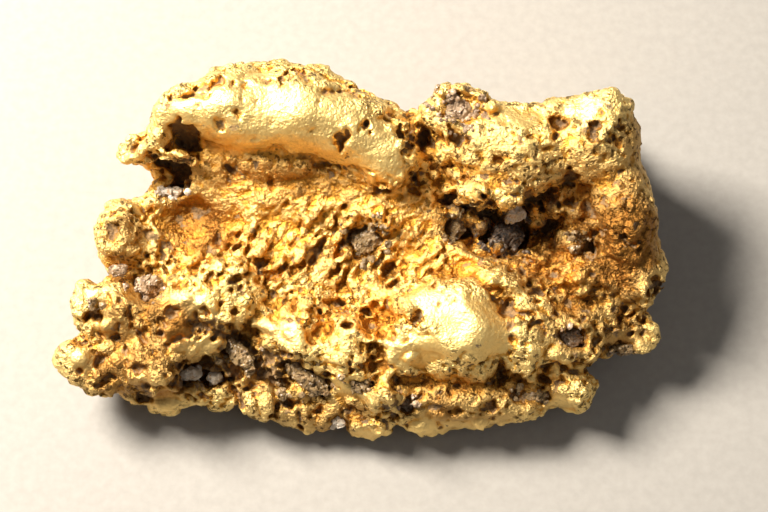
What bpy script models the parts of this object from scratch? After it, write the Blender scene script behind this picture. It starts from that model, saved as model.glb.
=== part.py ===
"""Gold nugget with quartz left in its pockets, resting on its worn underside.

The nugget is drafted lying square on its broad face, in millimetres: x runs along its
longest side, y across it and z up from the draft plane. The finished solids are then tipped
TIP_DEG about x on to the side that they rest on, stood on z = 0 and scaled to metres.
"""

from math import cos, radians, sin

import bmesh
import bpy
from mathutils import Matrix, Vector, noise

MM = 0.001
TIP_DEG = 20.0
REST_HEIGHT = 24.5  # of the draft plane's centre above the surface that the nugget lies on
BOX_MIDDLE = (0.4, 3.35)  # of the tipped nugget's box, which is stood over the origin
FOOT_GRIND = 2.0  # how deep the lobes underneath are worn flat
BELLY_GAP = 3.0  # between the core's underside and that surface

GRAIN = 1.0  # edge of the cells that the lobes are fused in
GOLD_FACES = 5200  # triangles that the gold is thinned out to
ROLLINGS = 2  # how many times the fused gold is smoothed
RELIEF = 0.8  # height of the lumps on every surface
RELIEF_SPAN = 9.0
BROAD_SHARE, LUMPY_SHARE = 1.6, 0.9  # of that height in the broad lumps and the smaller ones
LUMPY_SPAN = 0.45 * RELIEF_SPAN
LUMPY_SHIFT = Vector((31, 17, 5))  # keeps the smaller lumps from following the broad ones

SOCKET_GAP = 0.35  # between a stone and the gold round it
SOCKET_RISES = (0.0, 1.0, 2.2)  # how far each copy of a stone is lifted to open its socket, in radii
SOCKET_GRAIN = 0.6
SOCKET_SHARE = 0.12  # of the sockets' triangles that are kept
STONE_SHARE = 0.3  # of a stone's triangles that are kept
CHIP = 0.16  # how far a stone's corner strays from round, as a share of its radius
CHIP_SPAN = 1 / 1.7  # how far round the stone one chipped side reaches, in radii
CHIP_SHIFT = 7.3  # sets every stone's chips apart from the next one's

GOLD_COLOUR, GOLD_ROUGHNESS = (0.85, 0.52, 0.12), 0.38
QUARTZ_COLOUR, QUARTZ_ROUGHNESS, QUARTZ_CLEAR = (0.62, 0.55, 0.50), 0.35, 0.3
IRONSTONE_COLOUR, IRONSTONE_ROUGHNESS = (0.10, 0.085, 0.06), 0.7

# The outline at its widest, anticlockwise from the lower right of the left beak.
OUTLINE = [
    (-51.5, 20), (-48.5, 21), (-46.5, 17.5), (-47, 14), (-52, 10.5), (-56, 6.5), (-57.5, 1.5),
    (-56, -3.5), (-61, -10.5), (-61.5, -17), (-65, -22), (-63, -26.5), (-59.5, -29),
    (-53.5, -31), (-45.5, -34), (-37, -33.5), (-31, -33), (-26.5, -32.5), (-18.5, -37),
    (-13, -37.5), (-4.5, -38), (1.5, -40), (4.5, -38.5), (6, -34), (8.5, -36), (14, -39),
    (20, -37), (28.5, -36), (36, -31.5), (42, -33), (48, -28.5), (48.5, -20.5), (55, -22.5),
    (61, -20), (62.5, -14.5), (60.5, -12), (63.5, -9), (65, -4.5), (64, -0.5), (62, 5.5),
    (61, 14), (59.5, 20), (58, 28), (53, 33), (47, 34), (41, 32), (32, 32), (25.5, 33.5),
    (18.5, 36.5), (14.5, 33), (11.5, 31), (6, 32), (1, 34), (-3, 37), (-11.5, 38.5),
    (-17, 40.5), (-29, 39), (-39, 36), (-44, 30), (-43.5, 27.5), (-48, 25.5), (-52.5, 23.5),
]

# Levels of the core: (share of the outline, height), down to the widest one.
CORE_CROWN = [(0.80, -1.0), (0.93, -2.5), (0.985, -5.0)]
# Below it: (share of the outline, share of the way from the widest level to the underside).
CORE_BELLY = [(0.97, 0.25), (0.90, 0.55), (0.78, 0.82), (0.64, 1.0)]

# Lobes: (x, y, z) of the middle, (along, across, up) radii, turn about z in degrees.
RIDGE = [
    ((-38, 30, 3.5), (7, 5.5, 7.5), 20), ((-28, 31.5, 3.5), (11, 7.5, 9.5), 8),
    ((-14, 30.5, 3.5), (11, 8.5, 10), -10), ((-4, 27, 2.5), (9, 8, 9.5), -25),
    ((4.5, 21, 1.5), (7, 6.5, 8.5), -45), ((-18, 36, -2.5), (17, 5, 7), -4),
]
RIGHT_BLOCK = [
    ((32, 22.5, 0), (14, 9.5, 9), 0), ((49, 24, 0), (9, 9.5, 9.5), 0), ((50, 29, 1), (6, 5.5, 8), 0),
    ((55, 9, -1), (6.5, 13, 9), 5), ((18.5, 28, -1), (8, 7.5, 6.5), 0), ((58, -3.5, -3), (6, 7, 7), 0),
    ((45, -2.5, -3), (9, 5, 7), -15), ((28, 13.5, 1.5), (9, 3.2, 6), -4),
]
LOWER_BULGE = [
    ((20.5, -14, 3), (10.5, 9, 10.5), -15), ((19, -23, 0.5), (9, 4.5, 7.5), -18),
    ((12, -9, 1.5), (7, 5.5, 7.5), 0), ((43, -18, -2), (7, 6.5, 7.5), 0),
    ((34, -10, -1.5), (7, 5, 6.5), 0),
]
CENTRE = [
    ((-1, -20, -2.5), (13, 9.5, 9), 0), ((-14, -18, -2.5), (9.5, 9, 8.5), 0),
    ((4, -30.5, -1.5), (8, 3.5, 7), -20),
]
LEFT_MASS = [
    ((-37, -12, 0), (10.5, 9, 8), 0), ((-53, -12, -1), (8, 7, 8), 0), ((-56.5, -22, -3), (8, 6.5, 7), 0),
    ((-45, -23, -1), (8, 7.5, 7.5), 0), ((-29, -7.5, -0.5), (9, 6.5, 6.5), -30),
    ((-52.5, 4.5, -3.5), (5, 7.5, 6.5), 0), ((-36, -19, 1), (4, 2.5, 6), -10),
]
BEAK = [((-46.5, 23.8, 1), (6, 2.2, 3), 12)]
FRONT_LOBES = [
    ((0.5, -36, -6.5), (5.5, 4.2, 5), 0), ((14, -34, -6), (6.5, 5, 6), 0), ((24, -32, -6), (7, 5, 6.5), 0),
    ((43, -28.5, -5), (5.3, 4.6, 7), 0), ((56.5, -17.5, -7), (6.3, 4.6, 6), 0),
    ((-22.5, -31, -6), (5, 5, 6), 0), ((-13, -33, -7), (6.5, 4.5, 5.5), 0),
    ((-43, -31, -7), (5, 3, 5), 0), ((-33, -30.5, -7), (5, 3.2, 5), 0), ((-51, -27.5, -6), (6, 3.6, 5), 0),
]
# Lobes underneath that the nugget stands on: (x, y) of the middle, radii and turn. Their height
# follows from FOOT_GRIND.
FEET = [
    ((-42, -18), (12, 9, 9), 10), ((36, -16), (13, 9, 9), -10), ((-28, 19), (14, 10, 10), 15),
    ((32, 17), (14, 10, 10), 0),
]
# Lobes underneath that hang clear: ((x, y), radii, turn, gap to the surface).
BELLY_LOBES = [
    ((2, 4), (13, 10, 10), 0, 0.8), ((-14, -18), (13, 9, 9), 0, 1.2), ((12, -16), (11, 8, 8), 0, 1.6),
    ((-50, 2), (8, 9, 8), 0, 4), ((52, 6), (8, 12, 9), 0, 2.5), ((-8, 28), (13, 7, 10), 0, 2.0),
    ((14, 26), (10, 6, 9), 10, 4),
    ((-26, 2), (11, 8, 8), 20, 1.0), ((26, 2), (9, 8, 8), 0, 1.5), ((48, 24), (8, 7, 8), 0, 3),
]
LOBES = RIDGE + RIGHT_BLOCK + LOWER_BULGE + CENTRE + LEFT_MASS + BEAK + FRONT_LOBES

# Hollows, in the same terms as the lobes. The trough runs under the ridge, deepest beside it.
TROUGH = [
    ((-39, 8.5, 3), (9, 5.5, 7.5), 10), ((-29, 6.5, 5), (9, 7.5, 8.5), -10),
    ((-19, 5, 6), (13, 8.5, 9.5), -12), ((-6, 3, 6), (14, 9.5, 10), -12),
    ((6, 0, 5.5), (10, 8.5, 9), -12), ((12, 3, 5.5), (6, 6, 7), 0),
]
RIGHT_HOLLOW = [
    ((24, 6, 1.5), (8, 5.5, 9), 0), ((36, 5.5, 1), (9, 6, 10.5), 0), ((46, 3, 2.5), (5.5, 5, 8), 0),
    ((28, 1, 4), (7, 5, 6.5), -20), ((40, -2, 4.5), (7, 4, 5), -10),
]
LEFT_WINDOW = [((-40, 21.5, 3), (5.5, 3.6, 7), -40), ((-43, 17.5, 0), (6, 4.5, 6.5), -25)]
BASINS = [
    ((-9, -16, 7), (3.2, 2.6, 4), 0), ((2, -14, 7), (4.5, 3.8, 5), 0), ((1.5, -23, 6.5), (3, 2.8, 4), 0),
    ((-46, -6.5, 6), (4.3, 3.8, 5), 0), ((-33.5, -26.5, -1), (6.5, 2.4, 6), -8),
    ((13.5, 24.5, 4), (4, 3.5, 6), 0), ((36.5, -31, -1), (4.5, 2.2, 4.5), 10),
    ((44, -17.5, 4), (3.2, 2.4, 4.5), 0), ((-57, -13, 6), (2.4, 2, 3), 0),
]
HOLLOWS = TROUGH + RIGHT_HOLLOW + LEFT_WINDOW + BASINS

# Quartz and ironstone: name, place, (along, across, up) radii, turn about z in degrees.
STONES = [
    ("quartz_top_vein", (19.5, 30.5, 4.5), (4.0, 3.0, 2.2), 10),
    ("quartz_hollow_left", (19.0, 6.0, -4.5), (2.0, 3.0, 2.2), -10),
    ("ironstone_hollow", (30.5, 4.0, -7.0), (3.8, 3.2, 2.6), 0),
    ("quartz_hollow_white", (32.0, 8.5, -4.2), (2.8, 1.6, 1.6), 20),
    ("quartz_hollow_right", (46.0, 3.5, -3.5), (2.2, 2.2, 1.8), 0),
    ("quartz_trough", (0.0, 3.5, -2.5), (3.8, 3.2, 2.2), 30),
    ("quartz_window", (-41.5, 13.5, -4.2), (2.8, 1.5, 1.7), 0),
    ("quartz_left_pocket", (-46.5, -6.5, 2.2), (3.2, 2.6, 1.8), 15),
    ("quartz_left_pink", (-52.5, -3.2, 2.0), (2.0, 1.4, 1.4), 20),
    ("quartz_left_lobe", (-56.5, -10.6, 3.6), (1.8, 1.2, 1.4), 20),
    ("quartz_front_long", (-37.3, -25.3, -2.6), (2.6, 1.6, 1.7), 5),
    ("quartz_front_short", (-32.4, -26.2, -3.4), (1.7, 1.3, 1.4), -10),
    ("quartz_groove_left", (-26.5, -21.5, 2.0), (4.6, 1.8, 1.8), -52),
    ("quartz_groove_right", (-12.5, -26.5, 1.2), (5.8, 1.9, 1.9), -30),
    ("quartz_lip_eye", (-0.5, -27.8, 3.2), (2.2, 1.2, 1.3), -20),
    ("quartz_front_white", (-5.8, -36.0, -4.0), (1.6, 1.3, 1.3), 0),
    ("quartz_front_pink", (8.6, -31.5, -1.6), (2.2, 1.7, 1.7), -20),
    ("quartz_right_grey", (34.5, -30.3, -2.4), (4.0, 1.8, 1.8), 12),
    ("quartz_right_brown", (43.6, -17.4, 1.2), (2.8, 2.1, 1.8), 0),
    ("quartz_right_foot", (55.0, -20.2, -5.0), (2.4, 1.4, 1.8), 0),
]


def apply_modifier(obj, kind, **settings):
    """Gives the object one modifier and makes its result the object's own mesh."""
    modifier = obj.modifiers.new(kind.lower(), kind)
    for name, value in settings.items():
        setattr(modifier, name, value)
    graph = bpy.context.evaluated_depsgraph_get()
    shaped = bpy.data.meshes.new_from_object(obj.evaluated_get(graph))
    obj.modifiers.clear()
    obj.data = shaped


def object_of(name, bm):
    """Turns a bmesh into an object of the scene and frees it."""
    mesh = bpy.data.meshes.new(name)
    bm.to_mesh(mesh)
    bm.free()
    obj = bpy.data.objects.new(name, mesh)
    bpy.context.scene.collection.objects.link(obj)
    return obj


def add_ellipsoid(bm, place, radii, turn_deg, subdivisions=3):
    """Adds one ellipsoid: its middle, its radii along, across and up, and its turn about z."""
    matrix = (
        Matrix.Translation(place)
        @ Matrix.Rotation(radians(turn_deg), 4, "Z")
        @ Matrix.Diagonal((*radii, 1))
    )
    return bmesh.ops.create_icosphere(bm, subdivisions=subdivisions, radius=1, matrix=matrix)


def surface_height(y):
    """Where the surface that the nugget lies on crosses the draft frame, at this y."""
    return -(REST_HEIGHT + y * sin(radians(TIP_DEG))) / cos(radians(TIP_DEG))


def core_rings():
    """The rings of corners that the core is lofted through, top first."""
    crown = [[(x * share, y * share, height) for x, y in OUTLINE] for share, height in CORE_CROWN]
    widest = CORE_CROWN[-1][1]
    belly = []
    for share, way in CORE_BELLY:
        ring = []
        for x, y in OUTLINE:
            lowest = surface_height(y * share) + BELLY_GAP
            ring.append((x * share, y * share, widest + (lowest - widest) * way))
        belly.append(ring)
    return crown + belly


def add_core(bm):
    """The mass under the lobes: the outline lofted through its levels, closed top and bottom."""
    rings = [[bm.verts.new(corner) for corner in ring] for ring in core_rings()]
    loops = [[bm.edges.new(pair) for pair in zip(ring, ring[1:] + ring[:1])] for ring in rings]
    for upper, lower in zip(loops, loops[1:]):
        bmesh.ops.bridge_loops(bm, edges=upper + lower)
    bm.faces.new(rings[0])
    bm.faces.new(rings[-1])
    bmesh.ops.recalc_face_normals(bm, faces=bm.faces)


def underside_lobes():
    """The feet and the clear lobes, each set at the height that its gap to the surface asks for."""
    lobes = [(place, radii, turn, -FOOT_GRIND) for place, radii, turn in FEET] + BELLY_LOBES
    return [
        ((x, y, surface_height(y) + gap + radii[2] / cos(radians(TIP_DEG))), radii, turn)
        for (x, y), radii, turn, gap in lobes
    ]


def fused(name, shapes, cell, core=False):
    """One closed solid of ellipsoids, with the core if asked, fused on a grid of cells."""
    bm = bmesh.new()
    if core:
        add_core(bm)
    for place, radii, turn in shapes:
        add_ellipsoid(bm, place, radii, turn)
    obj = object_of(name, bm)
    apply_modifier(obj, "REMESH", mode="VOXEL", voxel_size=cell)
    return obj


def roughen(obj):
    """Moves every vertex along its normal by smooth noise, so that no lobe stays a plain ellipsoid."""
    normals = [vertex.normal.copy() for vertex in obj.data.vertices]
    for vertex, normal in zip(obj.data.vertices, normals):
        broad = noise.noise(vertex.co / RELIEF_SPAN)
        lumpy = noise.noise(vertex.co / LUMPY_SPAN + LUMPY_SHIFT)
        vertex.co += normal * RELIEF * (BROAD_SHARE * broad + LUMPY_SHARE * lumpy)
    obj.data.update()


def cut(obj, cutter, solver="EXACT"):
    """Takes the cutter's solid out of the object. The cutter is kept, out of sight."""
    cutter.hide_render = True
    cutter.display_type = "WIRE"
    apply_modifier(obj, "BOOLEAN", operation="DIFFERENCE", object=cutter, solver=solver)


def tip_over():
    """From the draft plane to the resting place, in metres."""
    return (
        Matrix.Scale(MM, 4)
        @ Matrix.Translation((-BOX_MIDDLE[0], -BOX_MIDDLE[1], REST_HEIGHT))
        @ Matrix.Rotation(radians(TIP_DEG), 4, "X")
    )


def grind_feet(obj):
    """Cuts the underside flat on the plane that the nugget rests on."""
    bm = bmesh.new()
    bm.from_mesh(obj.data)
    geometry = bm.verts[:] + bm.edges[:] + bm.faces[:]
    made = bmesh.ops.bisect_plane(
        bm, geom=geometry, dist=1e-7, plane_co=(0, 0, 0), plane_no=(0, 0, -1), clear_outer=True
    )
    rims = [item for item in made["geom_cut"] if isinstance(item, bmesh.types.BMEdge)]
    bmesh.ops.holes_fill(bm, edges=rims, sides=0)
    bmesh.ops.triangulate(bm, faces=bm.faces)
    bm.to_mesh(obj.data)
    bm.free()


def chipped_stone(name, place, radii, turn_deg, number):
    """A grain with a few flat chipped sides: a coarse ball whose corners stray in and out."""
    bm = bmesh.new()
    add_ellipsoid(bm, (0, 0, 0), (1, 1, 1), 0, subdivisions=2)
    for corner in bm.verts:
        stray = noise.noise(corner.co / CHIP_SPAN + Vector((number * CHIP_SHIFT, 2.1, 4.7)))
        corner.co *= 1 + CHIP * 2 * stray
    turn = Matrix.Rotation(radians(turn_deg), 4, "Z")
    bmesh.ops.transform(
        bm, verts=bm.verts, matrix=Matrix.Translation(place) @ turn @ Matrix.Diagonal((*radii, 1))
    )
    obj = object_of(name, bm)
    apply_modifier(obj, "DECIMATE", ratio=STONE_SHARE)
    return obj


def socket_shape(place, radii, turn_deg):
    """The pocket that a stone sits in: its own rounded form with a gap, open upwards."""
    roomy = [radius * (1 + CHIP) + SOCKET_GAP for radius in radii]
    return [(Vector(place) + Vector((0, 0, radii[2] * rise)), roomy, turn_deg) for rise in SOCKET_RISES]


def principled(name, colour, roughness, metallic=0.0, transmission=0.0):
    """A plain material of one colour."""
    material = bpy.data.materials.new(name)
    material.use_nodes = True
    shader = material.node_tree.nodes["Principled BSDF"]
    shader.inputs["Base Color"].default_value = (*colour, 1)
    shader.inputs["Roughness"].default_value = roughness
    shader.inputs["Metallic"].default_value = metallic
    shader.inputs["Transmission Weight"].default_value = transmission
    return material


def shape_gold():
    """Fuses the gold from its lobes, takes its hollows and sockets out and stands it on its feet."""
    gold = fused("gold_nugget", LOBES + underside_lobes(), GRAIN, core=True)
    roughen(gold)
    hollows = fused("hollows", HOLLOWS, GRAIN)
    cut(gold, hollows, solver="MANIFOLD")
    apply_modifier(gold, "REMESH", mode="VOXEL", voxel_size=GRAIN)
    apply_modifier(gold, "SMOOTH", factor=0.5, iterations=ROLLINGS)
    apply_modifier(gold, "TRIANGULATE")
    apply_modifier(gold, "DECIMATE", ratio=GOLD_FACES / len(gold.data.polygons))
    sockets = [shape for _, place, radii, turn in STONES for shape in socket_shape(place, radii, turn)]
    pockets = fused("pockets", sockets, SOCKET_GRAIN)
    apply_modifier(pockets, "DECIMATE", ratio=SOCKET_SHARE)
    cut(gold, pockets)
    for helper in (hollows, pockets):
        bpy.data.objects.remove(helper)
    gold.data.transform(tip_over())
    grind_feet(gold)
    gold.data.materials.clear()
    gold.data.materials.append(principled("native gold", GOLD_COLOUR, GOLD_ROUGHNESS, metallic=1.0))


def set_stones():
    """Sets every stone in its socket."""
    quartz = principled("milky quartz", QUARTZ_COLOUR, QUARTZ_ROUGHNESS, transmission=QUARTZ_CLEAR)
    ironstone = principled("ironstone", IRONSTONE_COLOUR, IRONSTONE_ROUGHNESS)
    for number, (name, place, radii, turn) in enumerate(STONES):
        stone = chipped_stone(name, place, radii, turn, number)
        stone.data.transform(tip_over())
        stone.data.materials.clear()
        stone.data.materials.append(ironstone if name.startswith("ironstone") else quartz)


for leftover in list(bpy.data.objects):
    bpy.data.objects.remove(leftover)
shape_gold()
set_stones()
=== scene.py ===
"""Looks of a gold nugget with quartz left in its pockets, lying on its worn underside.

The nugget is described in a draft frame, in millimetres: x along its longest side, y across it and
z up from the middle of its thickness. Lie turns that frame into the row frame, in metres.
"""

import logging
import math
from dataclasses import dataclass
from enum import Enum

import bmesh
import bpy
import numpy as np
from mathutils import Matrix, Vector, noise
from mathutils.bvhtree import BVHTree

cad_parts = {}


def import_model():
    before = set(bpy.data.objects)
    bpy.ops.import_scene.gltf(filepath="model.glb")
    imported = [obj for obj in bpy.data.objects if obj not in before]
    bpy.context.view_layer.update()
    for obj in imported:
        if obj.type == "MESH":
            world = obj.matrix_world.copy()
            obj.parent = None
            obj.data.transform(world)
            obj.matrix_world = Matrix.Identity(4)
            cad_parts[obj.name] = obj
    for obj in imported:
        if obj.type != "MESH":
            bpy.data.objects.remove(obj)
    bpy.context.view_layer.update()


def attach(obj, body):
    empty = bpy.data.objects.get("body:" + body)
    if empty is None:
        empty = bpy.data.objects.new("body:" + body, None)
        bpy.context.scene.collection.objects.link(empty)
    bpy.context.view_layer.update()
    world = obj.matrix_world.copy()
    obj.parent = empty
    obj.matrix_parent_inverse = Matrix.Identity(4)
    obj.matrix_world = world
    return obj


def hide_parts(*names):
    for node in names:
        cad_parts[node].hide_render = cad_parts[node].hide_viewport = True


LOG = logging.getLogger("nugget")
MM = 0.001
SEED = 41


# --------------------------------------------------------------------------- helpers


def linear(colour: str) -> tuple[float, float, float, float]:
    """Turns an sRGB hex colour into linear light.

    Args:
        colour: Six hex digits after a hash.

    Returns:
        Red, green, blue and an alpha of 1.
    """
    parts = [int(colour[i : i + 2], 16) / 255 for i in (1, 3, 5)]
    lit = [c / 12.92 if c <= 0.04045 else ((c + 0.055) / 1.055) ** 2.4 for c in parts]
    return (lit[0], lit[1], lit[2], 1.0)


def smooth_step(low: float, high: float, value: np.ndarray) -> np.ndarray:
    """Eases from 0 at low to 1 at high."""
    share = np.clip((value - low) / (high - low), 0.0, 1.0)
    return share * share * (3 - 2 * share)


def link_object(name: str, mesh: bpy.types.Mesh) -> bpy.types.Object:
    """Puts a mesh into the scene as an object at the origin."""
    obj = bpy.data.objects.new(name, mesh)
    bpy.context.scene.collection.objects.link(obj)
    return obj


def object_from(name: str, bm: bmesh.types.BMesh) -> bpy.types.Object:
    """Turns a bmesh into an object and frees it."""
    mesh = bpy.data.meshes.new(name)
    bm.to_mesh(mesh)
    bm.free()
    return link_object(name, mesh)


def apply_modifier(obj: bpy.types.Object, kind: str, **settings: object) -> None:
    """Gives an object one modifier and makes its result the object's own mesh.

    Args:
        obj: The object to shape.
        kind: Blender's name for the modifier.
        settings: The modifier's properties.
    """
    modifier = obj.modifiers.new(kind.lower(), kind)
    for name, value in settings.items():
        setattr(modifier, name, value)
    graph = bpy.context.evaluated_depsgraph_get()
    shaped = bpy.data.meshes.new_from_object(obj.evaluated_get(graph))
    obj.modifiers.clear()
    before = obj.data
    obj.data = shaped
    bpy.data.meshes.remove(before)


def points_of(mesh: bpy.types.Mesh) -> np.ndarray:
    """Reads a mesh's vertices as rows of three."""
    flat = np.empty(len(mesh.vertices) * 3, np.float32)
    mesh.vertices.foreach_get("co", flat)
    return flat.reshape(-1, 3).astype(np.float64)


def normals_of(mesh: bpy.types.Mesh) -> np.ndarray:
    """Reads a mesh's vertex normals as rows of three."""
    flat = np.empty(len(mesh.vertices) * 3, np.float32)
    mesh.vertex_normals.foreach_get("vector", flat)
    return flat.reshape(-1, 3).astype(np.float64)


def set_points(mesh: bpy.types.Mesh, points: np.ndarray) -> None:
    """Writes rows of three back as the mesh's vertices."""
    mesh.vertices.foreach_set("co", points.astype(np.float32).ravel())
    mesh.update()


def weigh(obj: bpy.types.Object, name: str, weights: np.ndarray) -> None:
    """Gives each vertex a weight from 0 to 1 in a group that modifiers read by name."""
    group = obj.vertex_groups.new(name=name)
    for index, weight in enumerate(np.round(weights, 1).tolist()):
        if weight:
            group.add([index], weight, "REPLACE")


def store(mesh: bpy.types.Mesh, name: str, values: np.ndarray) -> None:
    """Keeps one number for each vertex, which a material reads by name."""
    layer = mesh.attributes.new(name, "FLOAT", "POINT")
    layer.data.foreach_set("value", values.astype(np.float32))


def wave(points: np.ndarray, span: float, shift: float = 0.0) -> np.ndarray:
    """Smooth noise, about -1 to 1, with bumps of about this span."""
    return np.array([noise.noise(p) for p in (points / span + shift).tolist()])


@dataclass
class Cells:
    """Space split into rounded cells, as each of many points sees it, measured in spans.

    near and second are the distances to the two nearest middles. offset is the way from the
    nearest middle to the point, and lean is three numbers from -1 to 1 for each cell.
    """

    near: np.ndarray
    second: np.ndarray
    offset: np.ndarray
    lean: np.ndarray

    def level(self) -> np.ndarray:
        """One number from -0.5 to 0.5 for each cell."""
        return self.lean[:, 0] / 2

    def tilt(self) -> np.ndarray:
        """How far a plane through the cell's middle, leaning its own way, stands up here."""
        return (self.offset * self.lean).sum(axis=1)

    def joint(self, wide: float) -> np.ndarray:
        """1 along the line between two cells, easing to 0 beside it."""
        return 1 - smooth_step(0.2 * wide, wide, self.second - self.near)


def cells(points: np.ndarray, span: float, shift: float = 0.0) -> Cells:
    """Splits space into cells of about this span.

    Args:
        points: Rows of three.
        span: The cells' usual width.
        shift: Moves the pattern, so that two uses differ.

    Returns:
        What each point sees of its cell.
    """
    places = points / span + shift
    found: list[float] = []
    for place in places.tolist():
        reach, middles = noise.voronoi(place)
        found.extend((reach[0], reach[1], *middles[0], *noise.cell_vector(middles[0] * 7.31)))
    table = np.array(found).reshape(-1, 8)
    return Cells(table[:, 0], table[:, 1], places - table[:, 2:5], table[:, 5:] * 2 - 1)


# --------------------------------------------------------------------------- the pose


@dataclass(frozen=True)
class Lie:
    """How the nugget lies on its underside, and how it is looked at."""

    tip_deg: float = 20.0
    rest_height: float = 24.5
    middle: tuple[float, float] = (0.4, 3.35)
    sight_distance: float = 470.0
    sight_middle: tuple[float, float] = (3.8, -0.2)

    def to_frame(self) -> Matrix:
        """From the draft frame in millimetres to the row frame in metres."""
        return (
            Matrix.Scale(MM, 4)
            @ Matrix.Translation((-self.middle[0], -self.middle[1], self.rest_height))
            @ Matrix.Rotation(math.radians(self.tip_deg), 4, "X")
        )

    def seen(self, points: np.ndarray) -> np.ndarray:
        """Where points of the draft frame show on its middle plane, looked at from the front.

        Args:
            points: Rows of three in millimetres.

        Returns:
            Rows of two in millimetres.
        """
        middle = np.array(self.sight_middle)
        spread = self.sight_distance / (self.sight_distance - points[:, 2])
        return middle + (points[:, :2] - middle) * spread[:, None]


@dataclass(frozen=True)
class Spot:
    """An ellipse on the nugget's face: its middle, half length, half width and turn."""

    u: float
    v: float
    long: float
    wide: float
    turn: float = 0.0
    size: float = 1.0
    # Share of earth colour in a pit: partly earth, partly painted shade.
    earth_shade: float = 0.0

    def reach(self, seen: np.ndarray) -> np.ndarray:
        """How far points lie from the middle, as a share of the ellipse's radius."""
        turn = math.radians(self.turn)
        du, dv = seen[:, 0] - self.u, seen[:, 1] - self.v
        along = (du * math.cos(turn) + dv * math.sin(turn)) / self.long
        across = (dv * math.cos(turn) - du * math.sin(turn)) / self.wide
        return np.hypot(along, across)

    def bowl(self, seen: np.ndarray, rim: float = 1.35) -> np.ndarray:
        """A hollow with steep sides and a round floor: 1 in the middle, 0 past the rim."""
        return 1 - smooth_step(0.35, rim, self.reach(seen))


@dataclass(frozen=True)
class Groove:
    """A crease drawn through points of the face, with its half width, depth and share of earth colour, which is partly
    earth and partly painted shade.
    """

    route: tuple[tuple[float, float], ...]
    wide: float
    size: float
    earth_shade: float = 0.6

    def bowl(self, seen: np.ndarray) -> np.ndarray:
        """1 along the crease, easing to 0 beside it."""
        nearest = np.full(len(seen), 1e9)
        for start, end in zip(self.route, self.route[1:]):
            a, step = np.array(start), np.array(end) - np.array(start)
            share = np.clip((seen - a) @ step / (step @ step), 0, 1)
            nearest = np.minimum(nearest, np.linalg.norm(seen - a - share[:, None] * step, axis=1))
        return 1 - smooth_step(0.2, 1.3, nearest / self.wide)


@dataclass(frozen=True)
class Cavity:
    """A steep-walled hollow of the face, drawn by its rim, with its depth and its share of earth colour, which is
    partly earth and partly painted shade.
    """

    rim: tuple[tuple[float, float], ...]
    size: float
    earth_shade: float = 0.6
    wall: float = 0.8

    def inside(self, seen: np.ndarray) -> np.ndarray:
        """How far points lie inside the rim, in millimetres. Outside it is negative."""
        nearest = np.full(len(seen), 1e9)
        odd = np.zeros(len(seen), bool)
        for (ax, ay), (bx, by) in zip(self.rim, self.rim[1:] + self.rim[:1]):
            px, py = seen[:, 0] - ax, seen[:, 1] - ay
            ex, ey = bx - ax, by - ay
            share = np.clip((px * ex + py * ey) / (ex * ex + ey * ey), 0, 1)
            nearest = np.minimum(nearest, np.hypot(px - share * ex, py - share * ey))
            crosses = (ay > seen[:, 1]) != (by > seen[:, 1])
            odd ^= crosses & (px < ex * py / (ey or 1e-9))
        return np.where(odd, nearest, -nearest)

    def bowl(self, seen: np.ndarray) -> np.ndarray:
        """1 on the floor, easing to 0 just outside the rim."""
        inside = self.inside(seen)
        return smooth_step(-0.3 * self.wall, 0.7 * self.wall, inside) * (0.8 + 0.2 * smooth_step(0, 3, inside))

    def reach(self, seen: np.ndarray) -> np.ndarray:
        """0 well inside the rim, 1 on it and more outside."""
        return 1 - self.inside(seen) / self.wall


def near(shape: "Spot | Groove | Cavity", seen: np.ndarray) -> np.ndarray:
    """The places of the points that a shape of the face can touch, to save time on the rest."""
    if isinstance(shape, Spot):
        rim, margin = ((shape.u, shape.v),), 1.4 * max(shape.long, shape.wide)
    else:
        rim, margin = shape.route if isinstance(shape, Groove) else shape.rim, 2.6
    across, up = zip(*rim)
    u, v = seen[:, 0], seen[:, 1]
    inside = (u > min(across) - margin) & (u < max(across) + margin)
    return np.flatnonzero(inside & (v > min(up) - margin) & (v < max(up) + margin))


LIE = Lie()


# --------------------------------------------------------------------------- the face


class Zone(Enum):
    """The kinds of surface that the gold shows."""

    WORN = "smooth, rolled flat by gravel"
    BLADES = "thin leaning fins of crystal gold"
    SCALES = "overlapping flakes on a steep wall"
    PLATES = "low worn facets with fine cracks"
    CRUST = "packed grains and nodules"


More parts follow.
